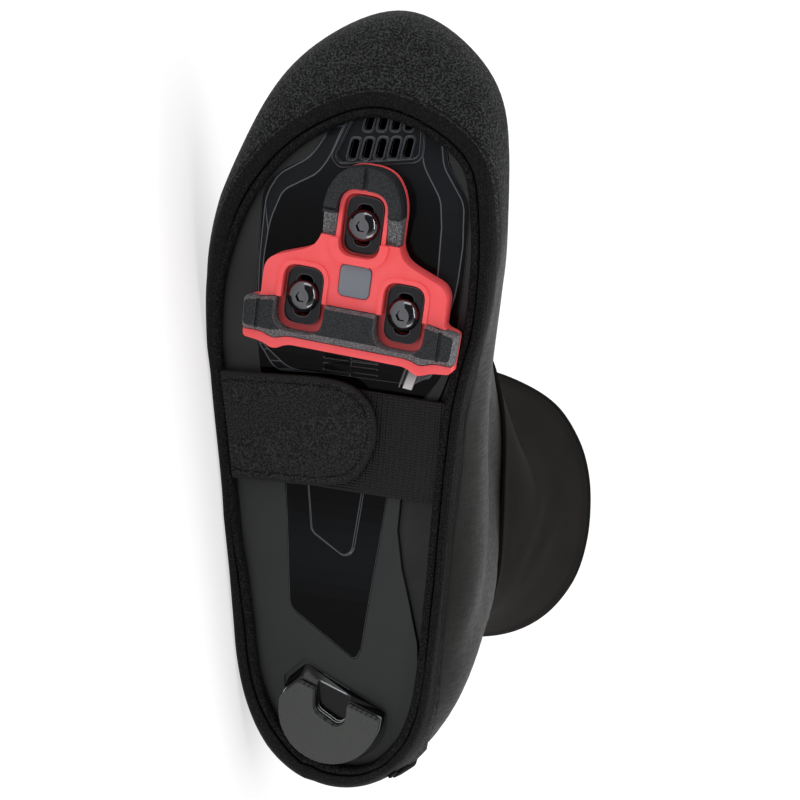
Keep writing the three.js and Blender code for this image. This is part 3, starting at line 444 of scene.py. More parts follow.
def noise(tree, where, size, detail=2, stretch=(1, 1, 1)):
    """Noise with grains of a size in millimetres, drawn out along the shoe's axes by stretch."""
    vector = stretched(tree, where, size, stretch)
    return add_node(tree, "TexNoise", {"Vector": vector, "Scale": 1, "Detail": detail}).outputs[0]


def coordinate(tree, where, axis):
    return add_node(tree, "SeparateXYZ", {0: where}).outputs[axis]


def facing_down(tree):
    """How squarely a face looks out of the sole: 1 where it lies level with it."""
    normal = add_node(tree, "NewGeometry").outputs["True Normal"]
    return add_node(tree, "VectorMath", {0: normal, 1: -up}, operation="DOT_PRODUCT").outputs["Value"]


# A wave texture of scale 1 repeats after this length
WAVE_PERIOD = 0.314


def ribs(tree, where, pitch, axis, waver=0.0):
    """Parallel ribs, a pitch in millimetres apart along an axis."""
    values = {"Vector": where, "Scale": WAVE_PERIOD / pitch, "Distortion": waver, "Detail Scale": 2}
    return add_node(tree, "TexWave", values, bands_direction=axis).outputs["Fac"]


# %% Mix patterns and raise them
def remap(tree, value, low, high, to_low=0.0, to_high=1.0):
    values = {"Value": value, "From Min": low, "From Max": high, "To Min": to_low, "To Max": to_high}
    return add_node(tree, "MapRange", values).outputs["Result"]


def calculate(tree, operation, a, b=0):
    """Arithmetic on two values, or on the first alone where the operation takes one."""
    return add_node(tree, "Math", {0: a, 1: b}, operation=operation).outputs[0]


def blend(tree, factor, dark, light):
    """A colour between two others."""
    return add_node(tree, "Mix", {0: factor, 6: dark, 7: light}, data_type="RGBA").outputs[2]


def relief(tree, height, depth, below=None):
    """Bump that raises the surface by up to a depth in millimetres, on top of earlier bump."""
    values = {"Height": height, "Distance": depth * MM}
    if below:
        values["Normal"] = below
    return add_node(tree, "Bump", values).outputs["Normal"]


def read_attribute(tree, name):
    return add_node(tree, "Attribute", attribute_name=name).outputs["Fac"]


def connect(tree, shader, **links):
    for socket, value in links.items():
        tree.links.new(value, shader.inputs[socket.replace("_", " ")])


def beside_stitches(tree, distance, row_at, dashes):
    """0 on the stitches of a row at a distance from an edge, and up to 1 beside and between them."""
    off_row = calculate(tree, "ABSOLUTE", calculate(tree, "SUBTRACT", distance, row_at))
    return calculate(tree, "MAXIMUM", remap(tree, off_row, 0.15, 0.5), dashes)


def plain_finish(name, hex_text, grain, depth, **inputs):
    """A moulded or polished material of one colour, with grains of a size and a depth in millimetres."""
    material, tree, shader = new_material(name, Base_Color=colour(hex_text), **inputs)
    connect(tree, shader, Normal=relief(tree, noise(tree, in_shoe_mm(tree), grain), depth))
    return material


# %% Finish the coated fabric
FINISH = {}

# The upper is a stretch knit with a thin polyurethane film ironed on its outside. The film has set in fine
# wrinkles along and across the foot, and it shines softly where the cloth turns.
FINISH["coated_fabric"], tree, shader = new_material(
    "coated_stretch_fabric", Roughness=0.55, Specular_IOR_Level=0.1
)
where = in_shoe_mm(tree)
wrinkles = noise(tree, where, 0.9, stretch=(5, 1, 6))
folds = noise(tree, where, 1.0, stretch=(1, 7, 1))
normal = relief(tree, noise(tree, where, 14), 0.5)
normal = relief(tree, wrinkles, 0.10, normal)
normal = relief(tree, folds, 0.12, normal)
tint = blend(tree, noise(tree, where, 25), colour("#171816"), colour("#1f201d"))
connect(tree, shader, Base_Color=tint, Normal=normal, Roughness=remap(tree, wrinkles, 0.3, 0.7, 0.5, 0.65))

# %% Finish the grained knit
# The rand and the toe cap are a knit with a grained rubber coat, rough enough to walk on. The hem round the
# opening is the same cloth turned under: its fine rows of loops follow the edge, and two rows of stitches
# hold it down.
HEM_WIDTH = 5.6
STITCH_ROWS = (5.6, 7.0)
ROW_PITCH = 0.8
FINISH["textile"], tree, shader = new_material("grained_knit", Roughness=0.75, Specular_IOR_Level=0.15)
where = in_shoe_mm(tree)
from_edge = read_attribute(tree, "from_edge")
grain = noise(tree, where, 0.72, detail=2)
lumps = remap(tree, grain, 0.42, 0.6)
in_hem = remap(tree, from_edge, HEM_WIDTH - 0.4, HEM_WIDTH + 0.4, 1, 0)
rows = calculate(tree, "SINE", calculate(tree, "MULTIPLY", from_edge, 2 * math.pi / ROW_PITCH))
loops = calculate(tree, "ADD", noise(tree, where, 0.6), calculate(tree, "MULTIPLY", rows, 0.05))
loops = remap(tree, loops, 0.44, 0.64)
height = add_node(tree, "Mix", {0: in_hem, 2: lumps, 3: loops}).outputs[0]
body = blend(tree, lumps, colour("#0b0b0c"), colour("#3a3b3c"))
hem_tint = blend(tree, loops, colour("#050505"), colour("#1d1d1e"))
tint = blend(tree, in_hem, body, hem_tint)
dashes = remap(tree, noise(tree, where, 1.1), 0.45, 0.55, 0, 0.75)
for row_at in STITCH_ROWS:
    tint = blend(tree, beside_stitches(tree, from_edge, row_at, dashes), colour("#040404"), tint)
connect(tree, shader, Base_Color=tint, Normal=relief(tree, height, 0.4))

# %% Finish the shaft and the hem's fold
# The ankle shaft is a brushed thermal knit, dark brown where it catches the light, with a darker turned hem.
SHAFT_TOP = 182
SHAFT_HEM = 4
FINISH["shaft_fabric"], tree, shader = new_material(
    "brushed_thermal_knit", Roughness=0.95, Specular_IOR_Level=0.05
)
where = in_shoe_mm(tree)
hem_line = SHAFT_TOP - SHAFT_HEM
near_hem = remap(tree, coordinate(tree, where, "Z"), hem_line - 0.5, hem_line + 0.5)
nap = noise(tree, where, 0.5, detail=4)
knit = calculate(tree, "ADD", nap, calculate(tree, "MULTIPLY", ribs(tree, where, 0.9, "Z", 1), 0.4))
tint = blend(tree, noise(tree, where, 18), colour("#191715"), colour("#211f1c"))
tint = blend(tree, near_hem, tint, colour("#0c0c0b"))
connect(tree, shader, Base_Color=tint, Normal=relief(tree, knit, 0.12))

# The opening's edge is bound with the same cloth, folded over it.
FINISH["binding"], tree, shader = new_material("folded_knit", Roughness=0.8, Specular_IOR_Level=0.1)
where = in_shoe_mm(tree)
loops = remap(tree, noise(tree, where, 0.6, detail=2), 0.42, 0.62)
tint = blend(tree, loops, colour("#070707"), colour("#242425"))
connect(tree, shader, Base_Color=tint, Normal=relief(tree, loops, 0.3))

# %% Finish the strap
# The strap's band is knitted elastic: columns of small loops cross it, and some of them get a painted
# highlight.
COLUMN_PITCH = 2.1
LOOP_PITCH = 1.05
FINISH["elastic"], tree, shader = new_material("knitted_elastic", Roughness=0.6, Specular_IOR_Level=0.3)
where = in_shoe_mm(tree)
columns = ribs(tree, where, COLUMN_PITCH, "X", 0.6)
half_columns = ribs(tree, where, COLUMN_PITCH / 2, "X", 0.6)
loops = ribs(tree, where, LOOP_PITCH, "Y", 0.8)
knit = calculate(tree, "MULTIPLY", half_columns, loops)
knit = calculate(tree, "ADD", knit, calculate(tree, "MULTIPLY", columns, 0.5))
patches = remap(tree, noise(tree, where, 0.7), 0.4, 0.65)
# Painted highlight on the tops of some loops
painted_glint = calculate(tree, "MULTIPLY", remap(tree, knit, 0.75, 1.2), patches)
tint = blend(tree, painted_glint, colour("#050506"), colour("#262628"))
connect(tree, shader, Base_Color=tint, Normal=relief(tree, knit, 0.4))

# The tab is hook-and-loop cloth: a felt of tiny loops, with darker pits between them. Its rim is welded
# flat, and one row of stitches runs inside it.
TAB_STITCHES = 3.2
FINISH["hook_textile"], tree, shader = new_material("loop_felt", Roughness=0.9, Specular_IOR_Level=0.2)
where = in_shoe_mm(tree)
loops = noise(tree, where, 0.65, detail=2)
felt = remap(tree, loops, 0.38, 0.62)
tint = blend(tree, felt, colour("#0f0f10"), colour("#323233"))
from_rim = read_attribute(tree, "from_rim")
dashes = remap(tree, noise(tree, where, 1.3), 0.46, 0.54, 0, 0.8)
stitch_row = beside_stitches(tree, from_rim, TAB_STITCHES, dashes)
rim = remap(tree, from_rim, 0.9, 1.6)
tint = blend(tree, stitch_row, colour("#0b0b0c"), tint)
tint = blend(tree, rim, colour("#222223"), tint)
connect(tree, shader, Base_Color=tint, Normal=relief(tree, stitch_row, 0.4, relief(tree, felt, 0.35)))

# %% Finish the inner shoe's own cloth
# The inner shoe's upper shows as a rubbed microfibre margin beside the sole.
FINISH["shoe_fabric"], tree, shader = new_material("microfibre", Roughness=0.5, Specular_IOR_Level=0.2)
where = in_shoe_mm(tree)
ripples = noise(tree, where, 1.0, stretch=(4, 1, 3))
tint = blend(tree, noise(tree, where, 12), colour("#202120"), colour("#2b2c2b"))
connect(tree, shader, Base_Color=tint, Normal=relief(tree, ripples, 0.15))

# The insole is moulded foam, the colour of slate.
FINISH["insole_foam"] = plain_finish(
    "insole_foam", "#26272a", grain=0.6, depth=0.1, Roughness=0.95, Specular_IOR_Level=0.2
)

print("cloth finishes:", ", ".join(FINISH))

# %% [markdown]
# ## Finishes of the sole
# Nylon, lacquer and rubber are all nearly black here, and their gloss tells them apart. So roughness is set
# first, from a mirror-like plate to a dull tread, and the greys stay close together.

# %% Finish the outsole and the plate
# The outsole is moulded nylon with a satin, finely etched skin.
FINISH["satin_rubber"], tree, shader = new_material("satin_nylon", Roughness=0.45, Specular_IOR_Level=0.2)
where = in_shoe_mm(tree)
etched = noise(tree, where, 0.25, detail=2)
tint = blend(tree, noise(tree, where, 30), colour("#282929"), colour("#2f3030"))
connect(tree, shader, Base_Color=tint, Normal=relief(tree, etched, 0.02))

# The plate is lacquered carbon: its flat fields are black and glossy, and the flanks that slope away from
# them get a lighter painted reflection. The part towards the toe is lighter too. The moulded edges get thin
# grey lines of painted highlight.
GREYING_FROM, GREYING_TO = 205, 252
FINISH["gloss_plate"], tree, shader = new_material("lacquered_carbon", Roughness=0.1, Specular_IOR_Level=0.06)
where = in_shoe_mm(tree)
# Sloping faces are painted lighter, as a painted reflection
slope = remap(tree, facing_down(tree), 0.9985, 0.985)
toe_share = remap(tree, coordinate(tree, where, "Y"), GREYING_FROM, GREYING_TO)
tint = blend(tree, toe_share, colour("#060607"), colour("#15171a"))
tint = blend(tree, slope, tint, colour("#1c1e21"))
shine = remap(tree, slope, 0, 1, 0.1, 0.3)
connect(tree, shader, Base_Color=tint, Roughness=shine, Normal=relief(tree, noise(tree, where, 9), 0.05))

# Thin grey lines of painted highlight, for the bevels of the plate and the washers
FINISH["painted_edge_highlight"] = plain_finish(
    "painted_edge_highlight", "#484b50", grain=1.2, depth=0.02, Roughness=0.3, Specular_IOR_Level=0.5
)

# Where the plateau ends, its corner gets a painted reflection: bright at the strap, and dark further on.
REFLECTION_BRIGHT, REFLECTION_DARK = 158, 166.5
FINISH["painted_corner_reflection"], tree, shader = new_material(
    "painted_corner_reflection", Roughness=0.2, Specular_IOR_Level=0.4
)
fading = remap(tree, coordinate(tree, in_shoe_mm(tree), "Y"), REFLECTION_BRIGHT, REFLECTION_DARK)
tint = blend(tree, fading, colour("#c9cbcc"), colour("#2a2b2d"))
connect(tree, shader, Base_Color=tint)

# The vents are open to the hollow above the plate, where no light comes back.
FINISH["shade"], tree, shader = new_material(
    "unlit_hollow", Base_Color=colour("#010101"), Roughness=1.0, Specular_IOR_Level=0.0
)

# %% Finish the heel pad
# The heel's front block is gloss nylon.
FINISH["heel_gloss"] = plain_finish(
    "gloss_nylon", "#0a0b0c", grain=5, depth=0.04, Roughness=0.14, Specular_IOR_Level=0.2
)

# Its corners and the lip of its notch get a painted highlight, and the rest of its edges stays dark.
FINISH["heel_edge"], tree, shader = new_material("painted_heel_glint", Roughness=0.25, Specular_IOR_Level=0.4)
from_middle = calculate(tree, "ABSOLUTE", coordinate(tree, in_shoe_mm(tree), "X"))
# Painted highlight on the corners and the notch's lip, by distance from the middle
painted_light = calculate(tree, "MAXIMUM", remap(tree, from_middle, 17.6, 18.6), remap(tree, from_middle, 5.6, 4.6))
connect(tree, shader, Base_Color=blend(tree, painted_light, colour("#131415"), colour("#a9acb0")))

# The heel's tread is rubber with a fine diagonal cut.
CUT_PITCH = 0.75
CUT_SLANT = math.radians(-40)
FINISH["heel_tread"], tree, shader = new_material("tread_rubber", Roughness=0.7, Specular_IOR_Level=0.3)
where = in_shoe_mm(tree)
slanted = add_node(tree, "Mapping", {"Vector": where, "Rotation": (0, 0, CUT_SLANT)}).outputs["Vector"]
cuts = remap(tree, ribs(tree, slanted, CUT_PITCH, "Y"), 0.1, 0.5)
tint = blend(tree, cuts, colour("#323332"), colour("#4e504e"))
connect(tree, shader, Base_Color=tint, Normal=relief(tree, cuts, 0.1))

# %% [markdown]
# ## Finishes of the cleat and the zip
# Red nylon, speckled rubber and steel lie side by side on the cleat. A metal keeps the default IOR, because
# its base colour is what it mirrors. The zip's coil is too fine to show its turns from here, so they are a
# grain.

# %% Finish the cleat
# The cleat is moulded nylon, red all through, and its black pads are a grippy, speckled rubber. The tail
# bar's slope and the nose pad's two sloping legs get a lighter painted highlight: they lie between these
# places along the shoe.
BAR_END = 199
LEGS_START, LEGS_END = 204, 221.4
FINISH["cleat_red"], tree, shader = new_material("moulded_red_nylon", Roughness=0.45, Specular_IOR_Level=0.35)
where = in_shoe_mm(tree)
tint = blend(tree, noise(tree, where, 9), colour("#f94e51"), colour("#ff666a"))
connect(tree, shader, Base_Color=tint, Normal=relief(tree, noise(tree, where, 0.4), 0.03))

FINISH["cleat_pad"], tree, shader = new_material("speckled_rubber", Roughness=0.55, Specular_IOR_Level=0.3)
where = in_shoe_mm(tree)
speckle = remap(tree, noise(tree, where, 0.5, detail=3), 0.42, 0.6)
along_sole = coordinate(tree, where, "Y")
sloped = remap(tree, facing_down(tree), 0.985, 0.97)
on_bar = calculate(tree, "MULTIPLY", sloped, remap(tree, along_sole, BAR_END, BAR_END + 1, 1, 0))
before_legs_end = remap(tree, along_sole, LEGS_END, LEGS_END + 0.4, 1, 0)
on_legs = calculate(tree, "MULTIPLY", remap(tree, along_sole, LEGS_START, LEGS_START + 1), before_legs_end)
# Painted highlight on the bar's slope and on the pad's sloping legs
painted_light = calculate(tree, "MAXIMUM", on_bar, on_legs)
flat_tint = blend(tree, speckle, colour("#131416"), colour("#2c2e32"))
painted_light_tint = blend(tree, speckle, colour("#3a3a3c"), colour("#7d7d7f"))
tint = blend(tree, painted_light, flat_tint, painted_light_tint)
connect(tree, shader, Base_Color=tint, Normal=relief(tree, speckle, 0.1))

FINISH["badge_grey"] = plain_finish(
    "grey_nylon", "#767982", grain=0.4, depth=0.02, Roughness=0.5, Specular_IOR_Level=0.35
)

# Washers are black-oxide steel, and bolts are polished steel with a turned head.
FINISH["washer"] = plain_finish(
    "black_oxide_steel", "#222224", grain=0.3, depth=0.01, Roughness=0.22, Metallic=0.8
)
FINISH["bolt_steel"] = plain_finish(
    "polished_steel", "#5c5c5f", grain=1.6, depth=0.03, Roughness=0.1, Metallic=1.0
)

# %% Finish the zip
# The zip is a nylon coil under a lacquered slider.
FINISH["zip_coil"] = plain_finish(
    "nylon_coil", "#0c0c0d", grain=0.5, depth=0.03, Roughness=0.75, Specular_IOR_Level=0.1
)
FINISH["zip_metal"] = plain_finish(
    "lacquered_zinc", "#19191a", grain=0.6, depth=0.02, Roughness=0.32, Metallic=0.4
)

slots = {row["node"]: row["material_slot"] for row in frame["record"]["subparts"]}
for node_name, node_object in NODES.items():
    node_object.data.materials.clear()
    node_object.data.materials.append(FINISH[slots[node_name]])
print("finishes:", len(FINISH))

# %% [markdown]
# ## The sole
# The plate has a raised middle whose flanks slope down to a satin shoulder, a second raised field under the
# arch, and a vented grille at its toe. All outlines are rows of x, y and corner radius in the shoe's
# millimetres. Heights are below the sole's own curve, so a lower face at -1.2 stands 1.2 mm proud.

# %% Shape the sole plate
PLATE = [
    (14.0, 261, 1), (14.0, 253, 2), (20.5, 247, 3), (24.8, 239, 4), (35.6, 233, 4), (42.0, 226, 5),
    (42.0, 187, 5), (40.0, 158, 5), (27.0, 118, 5), (20.4, 69.2, 3), (-6.3, 52.8, 2), (-8.4, 57, 2),
    (-12.8, 118, 5), (-18.2, 146, 5), (-30.0, 163, 5), (-35.0, 182, 5), (-36.0, 202, 5), (-36.0, 229, 5),
    (-25.8, 242, 4), (-23.6, 261, 1),
]
PLATEAU = [
    (12.0, 256, 1), (14.5, 249, 2), (17.7, 239, 3), (21.5, 233, 3), (34.0, 225.5, 3), (38.0, 214, 4),
    (39.5, 200, 4), (39.5, 168, 4), (28.0, 159, 4), (-21.0, 159, 3), (-26.4, 200, 4), (-26.4, 220, 3),
    (-25.0, 229, 3), (-17.6, 240, 3), (-15.6, 249, 2), (-15.6, 256, 1),
]
PLATEAU_FOOT = [
    (13.6, 256, 1), (20.0, 248, 2), (23.6, 241.5, 3), (26.4, 238, 3), (36.4, 231.5, 3), (40.6, 224, 4),
    (41.4, 200, 4), (41.0, 168, 4), (34.0, 157.5, 4), (-26.0, 162, 3), (-34.0, 196, 4), (-35.2, 212, 3),
    (-34.2, 228, 3), (-25.2, 240.5, 3), (-23.4, 249, 2), (-23.0, 256, 1),
]
ARCH_FIELD = [
    (21.0, 145, 2), (17.8, 118, 2), (14.6, 99, 2), (1.6, 91.4, 2), (-1.4, 93.5, 2), (-3.2, 118, 2),
    (-4.4, 145, 2),
]
ARCH_FOOT = [
    (21.5, 145, 2), (18.3, 118, 2), (15.1, 98.6, 2), (1.5, 90.9, 2), (-1.9, 93, 2), (-3.7, 118, 2),
    (-4.9, 145, 2),
]
GRILLE = [
    (10.6, 258, 1), (17.2, 239.6, 2), (13.8, 236, 2), (-15.0, 241, 2), (-17.0, 243.6, 2), (-16.2, 258, 1),
]
RIM_WIDTH = 1.5
VENTS = [(9.1, 242.9), (4.1, 243.5), (-0.9, 244.2), (-5.9, 244.8), (-10.9, 245.5)]
UPPER_VENTS = [(4.4, 253.8), (-0.6, 254.4), (-5.6, 255.0), (-10.6, 255.6)]
VENT_SIZE = (3.0, 7.6)
VENT_CORNER = 1.2
VENT_LEAN = -0.14
LIP = 0.65


def stadium(x, y, width, length, radius, lean=0.0):
    """Corners of a rounded slot or block round a point, sheared sideways by lean."""
    half, reach, shift = width / 2, length / 2, lean * length / 2
    return [
        (x + half + shift, y + reach, radius), (x + half - shift, y - reach, radius),
        (x - half - shift, y - reach, radius), (x - half + shift, y + reach, radius),
    ]


def grown(corners, by):
    """The outline moved outwards by a width in millimetres."""
    middle = Vector((sum(row[0] for row in corners), sum(row[1] for row in corners))) / len(corners)
    moved = []
    for i, (x, y, radius) in enumerate(corners):
        here = Vector((x, y))
        before, after = Vector(corners[i - 1][:2]), Vector(corners[(i + 1) % len(corners)][:2])
        normals = [Vector((edge.y, -edge.x)).normalized() for edge in (here - before, after - here)]
        bisector = (normals[0] + normals[1]) / max(0.3, 1 + normals[0].dot(normals[1]))
        if bisector.dot(here - middle) < 0 and all(n.dot(here - middle) < 0 for n in normals):
            bisector = -bisector
        place = here + bisector * by
        moved.append((place.x, place.y, max(0.8, radius + by)))
    return moved


sole_plate = plate("sole_plate_detail", PLATE, 0, 2)
combine(sole_plate, [
    plate("plateau", PLATEAU_FOOT, -1.2, 0.1, PLATEAU),
    plate("arch_field", ARCH_FOOT, -0.9, 0.1, ARCH_FIELD),
], "UNION")
rim = plate("grille_rim", GRILLE, -2.0, 0.4)
combine(rim, [plate("grille_hole", grown(GRILLE, -RIM_WIDTH), -3, 2)], "DIFFERENCE")
combine(sole_plate, [plate("grille_floor", grown(GRILLE, -RIM_WIDTH / 2), -3, -0.1)], "DIFFERENCE")
combine(sole_plate, [rim], "UNION")
width, length = (size + 2 * LIP for size in VENT_SIZE)
lips = [plate("lip", stadium(x, y, width, length, 1.9, VENT_LEAN), -0.9, 0.4) for x, y in VENTS + UPPER_VENTS]
combine(sole_plate, lips, "UNION")

# %% Mark the plate and cut its vents
# Fine scale marks lie behind the cleat: rows of their left, right, lower and upper ends
MARK_HALF = 0.14
MARKS = [(-5.5, 14.5, y, y) for y in (160.6, 162.9, 165.2, 167.5)] + [(4.6, 4.6, 159.6, 169.5)]
for left, right, low, high in MARKS:
    left, right, low, high = left - MARK_HALF, right + MARK_HALF, low - MARK_HALF, high + MARK_HALF
    outline = [(right, low, 0), (left, low, 0), (left, high, 0), (right, high, 0)]
    combine(sole_plate, [plate("mark", outline, -1.26, -0.6)], "UNION")
# Two slivers with a painted reflection lie where the plateau ends
REFLECTION_SLIVER = [(-19.2, 169.2, 0.4), (-15.4, 157.4, 0.4), (-19.2, 157.0, 0.4), (-22.9, 168.8, 0.4)]
REFLECTION_LINE = [(-17.6, 169.4, 0.2), (-14.0, 157.6, 0.2), (-14.5, 157.5, 0.2), (-18.1, 169.3, 0.2)]
slivers = [plate("reflection_sliver", REFLECTION_SLIVER, -1.4, -0.6), plate("reflection_line", REFLECTION_LINE, -1.35, -0.6)]
combine(sole_plate, slivers, "UNION", FINISH["gloss_plate"], FINISH["painted_corner_reflection"])
for x, y in VENTS + UPPER_VENTS:
    vent = plate("vent", stadium(x, y, *VENT_SIZE, VENT_CORNER, VENT_LEAN), -3, 1.7)
    combine(sole_plate, [vent], "DIFFERENCE", None, FINISH["shade"])
# The plate's bevels take the painted edge highlight
round_edges(sole_plate, 0.22, 2, 5, FINISH["painted_edge_highlight"], clamp=False)
set_in_shoe(sole_plate, follow_sole=True)
wear(sole_plate, "gloss_plate", "sole_plate")

# %% [markdown]
# ## The heel pad
# The heel pad is for walking: a glossy hard block, and under it a softer tread, which wears away first. Both
# are the same half disc, so one function draws them, and the block's front leans back to where the tread
# ends. A cut cylinder would do, but the slanted front and its cut corner are easier to read as points.

# %% Shape the heel pad
def arc(centre, radius, angles, corner=0):
    """Rows of an outline on a circle."""
    return [(centre[0] + radius * math.cos(a), centre[1] + radius * math.sin(a), corner) for a in angles]


HEEL_CENTRE = (0.0, 33.2)
HEEL_RADIUS = 19.4
HEEL_STEPS = 28
BLOCK_LOW, BLOCK_HIGH = 3.7, 8.6
TREAD_LOW, TREAD_HIGH = -0.22, 3.4
HEEL_NOTCH = [(6.8, 60, 1), (5.6, 33.6, 2), (-3.0, 28.8, 2), (-6.2, 31.2, 2), (-6.6, 60, 1)]
NOTCH_FLOOR = 5.4


def heel_outline(front_y, outer_y, inner_y, chamfer):
    """A half disc closed by a slanted front, whose corner on the outer side is cut off."""
    angles = [math.pi * (1 + step / HEEL_STEPS) for step in range(HEEL_STEPS + 1)]
    front = [(HEEL_RADIUS, outer_y, 2), (HEEL_RADIUS - chamfer, front_y, 1.5), (-HEEL_RADIUS, inner_y, 1.5)]
    return arc(HEEL_CENTRE, HEEL_RADIUS, angles) + front


block_foot, block_face = heel_outline(48.8, 41.6, 34.6, 7.2), heel_outline(44.8, 38.2, 33.8, 6.8)
heel_block = plate("heel_block_gloss", block_foot, BLOCK_LOW, BLOCK_HIGH, block_face)
combine(heel_block, [plate("notch", HEEL_NOTCH, -2, NOTCH_FLOOR)], "DIFFERENCE")
# The block's bevels take the painted highlight of its corners and notch
round_edges(heel_block, 0.3, 2, 25, FINISH["heel_edge"])
set_in_shoe(heel_block)
wear(heel_block, "heel_gloss", "heel_block")

TREAD_NOTCH_GAP = 0.6
heel_tread = plate("heel_tread_rubber", heel_outline(43.8, 37.4, 33.4, 6.6), TREAD_LOW, TREAD_HIGH)
combine(heel_tread, [plate("notch", grown(HEEL_NOTCH, TREAD_NOTCH_GAP), -2, 6)], "DIFFERENCE")
round_edges(heel_tread, 0.5, 2, 25)
set_in_shoe(heel_tread)
wear(heel_tread, "heel_tread", "heel_tread")

# %% [markdown]
# ## The cleat
# The red body has three stepped slots with a washer and a bolt in each. A black pad covers its nose, and a
# black bar with a notch near each end runs along its tail. A real cleat is moulded in a tool with two equal
# halves, so half outlines are drawn here and mirrored about its middle. The whole is turned a little on its
# nose bolt at the end, as a rider sets it, because a turned outline is hard to read and change.

# %% Draw the cleat
CLEAT_MIDDLE = 0.8
CLEAT_NARROWING = 0.97
CLEAT_TURN = math.radians(3.3)
CLEAT_TOP = 8.83
CLEAT_FACE = 0.328
PAD_FACE = -2.66
NOSE_BACK = 212.1
BODY_HALF = [
    (23.2, 169.4, 2.5), (28.2, 166.6, 2.5), (33.2, 168.8, 2.5), (40.7, 169.6, 1.5), (41.4, 184.2, 1.5),
    (35.6, 185.8, 1.5), (35.6, 200.0, 5), (18.2, 206.4, 5), (15.0, 211.5, 3),
    (15.0, 228.8, 8), (8.2, 239.0, 7),
]
TAIL_HALF = [
    (24.0, 172.6, 2.5), (28.8, 170.8, 2.5), (33.8, 172.8, 2.5), (41.2, 172.6, 1.5), (41.8, 184.6, 1.5),
    (34.0, 185.6, 1.5), (29.8, 186.4, 1.5),
]
TAIL_HALF_LOW = [
    (24.4, 175.6, 2.5), (28.8, 174.2, 2.5), (33.8, 174.6, 2.5), (40.2, 174.6, 1.5), (40.8, 183.8, 1.5),
    (34.0, 184.8, 1.5), (29.8, 185.6, 1.5),
]
NOSE_HALF = [(15.0, NOSE_BACK, 1), (15.0, 228.8, 8), (8.2, 239.0, 7)]
BOLTS = [(19.8, 188.0), (-18.2, 188.0), (0.8, 217.5)]
SLOT = (15.6, 23.2, 5.5)
SEAT_HEIGHT = 4.6
TRAVEL = (6.8, 16.0, 3.2)
THROUGH = (-6, 12)
SEAT_GAP = 0.3
BADGE_AT = (CLEAT_MIDDLE, 197.0)
BADGE_WIDTH, BADGE_CORNER = 11.5, 2.3
LEG_SLOPE = 0.22
LEG_TOP_Y = 221


def mirrored(half):
    """A half outline and its mirror image, right round the cleat."""
    right = [(CLEAT_MIDDLE + CLEAT_NARROWING * x, y, radius) for x, y, radius in half]
    return right + [(2 * CLEAT_MIDDLE - x, y, radius) for x, y, radius in reversed(right)]


def set_cleat_piece(piece):
    """Turns a piece with the cleat, which is set a little askew on its nose bolt, and sets it in the shoe."""
    pivot = Matrix.Translation(Vector((*BOLTS[2], 0)))
    piece.data.transform(pivot @ Matrix.Rotation(CLEAT_TURN, 4, "Z") @ pivot.inverted())
    return set_in_shoe(piece, smooth_angle=30)


def around(bolt, size, grow=0.0):
    width, length, radius = (value + 2 * grow for value in size)
    return stadium(*bolt, width, length, radius - grow)


# %% Shape the cleat's body
body = plate("cleat_body_red", mirrored(BODY_HALF), CLEAT_FACE, CLEAT_TOP)
lip = plate("lip", around(BOLTS[2], SLOT, 3.1), CLEAT_FACE - 1.3, CLEAT_TOP - 2)
combine(lip, [plate("front", stadium(CLEAT_MIDDLE, 232, 60, 40, 1), -5, 20)], "DIFFERENCE")
side_rims = [plate("rim", around(bolt, SLOT, 1.6), CLEAT_FACE - 0.7, CLEAT_TOP - 2) for bolt in BOLTS[:2]]
combine(body, [lip, *side_rims], "UNION")
nose_seat = combine(
    plate("nose_seat", stadium(CLEAT_MIDDLE, NOSE_BACK + 30, 60, 60, 1), -5, 6.4),
    [plate("collar", around(BOLTS[2], SLOT, 1.5), *THROUGH)], "DIFFERENCE",
)
tail_seat = plate("tail_seat", grown(mirrored(TAIL_HALF), SEAT_GAP), -5, 4.84)
combine(body, [nose_seat, tail_seat], "DIFFERENCE")
combine(body, [plate("slot", around(bolt, SLOT), -6, SEAT_HEIGHT) for bolt in BOLTS], "DIFFERENCE")
combine(body, [plate("travel", around(bolt, TRAVEL), *THROUGH) for bolt in BOLTS], "DIFFERENCE")
badge_rim = around(BADGE_AT, (BADGE_WIDTH, BADGE_WIDTH, BADGE_CORNER), SEAT_GAP)
combine(body, [plate("badge_seat", badge_rim, -5, CLEAT_FACE + 1)], "DIFFERENCE")
round_edges(body, 0.8, 3, 30)
set_cleat_piece(body)
wear(body, "cleat_red", "cleat_body")

# %% Shape the cleat's pads and badge
nose_pad = plate("cleat_nose_rubber", mirrored(NOSE_HALF), PAD_FACE, 6.1)
combine(nose_pad, [
    plate("hole", around(BOLTS[2], SLOT, 1.8), *THROUGH),
    plate("step", stadium(CLEAT_MIDDLE, NOSE_BACK, 60, 17.6, 0.5), -6, PAD_FACE + 2.2),
    plate("groove", stadium(CLEAT_MIDDLE, 236, 1.8, 22, 0.4), -6, PAD_FACE + 1.1),
], "DIFFERENCE")
leg_gaps = [plate("leg_gap", stadium(CLEAT_MIDDLE + x, 222.4, 12, 0.9, 0.2), -6, PAD_FACE + 0.9)
            for x in (-13.0, 13.0)]
combine(nose_pad, leg_gaps, "DIFFERENCE")
round_edges(nose_pad, 0.5, 3, 30)
# The legs of the pad slope up beside the slot
for vertex in nose_pad.data.vertices:
    if vertex.co.z < 3 and vertex.co.y < LEG_TOP_Y:
        vertex.co.z += LEG_SLOPE * (LEG_TOP_Y - vertex.co.y)
set_cleat_piece(nose_pad)
wear(nose_pad, "cleat_pad", "cleat_nose_pad")

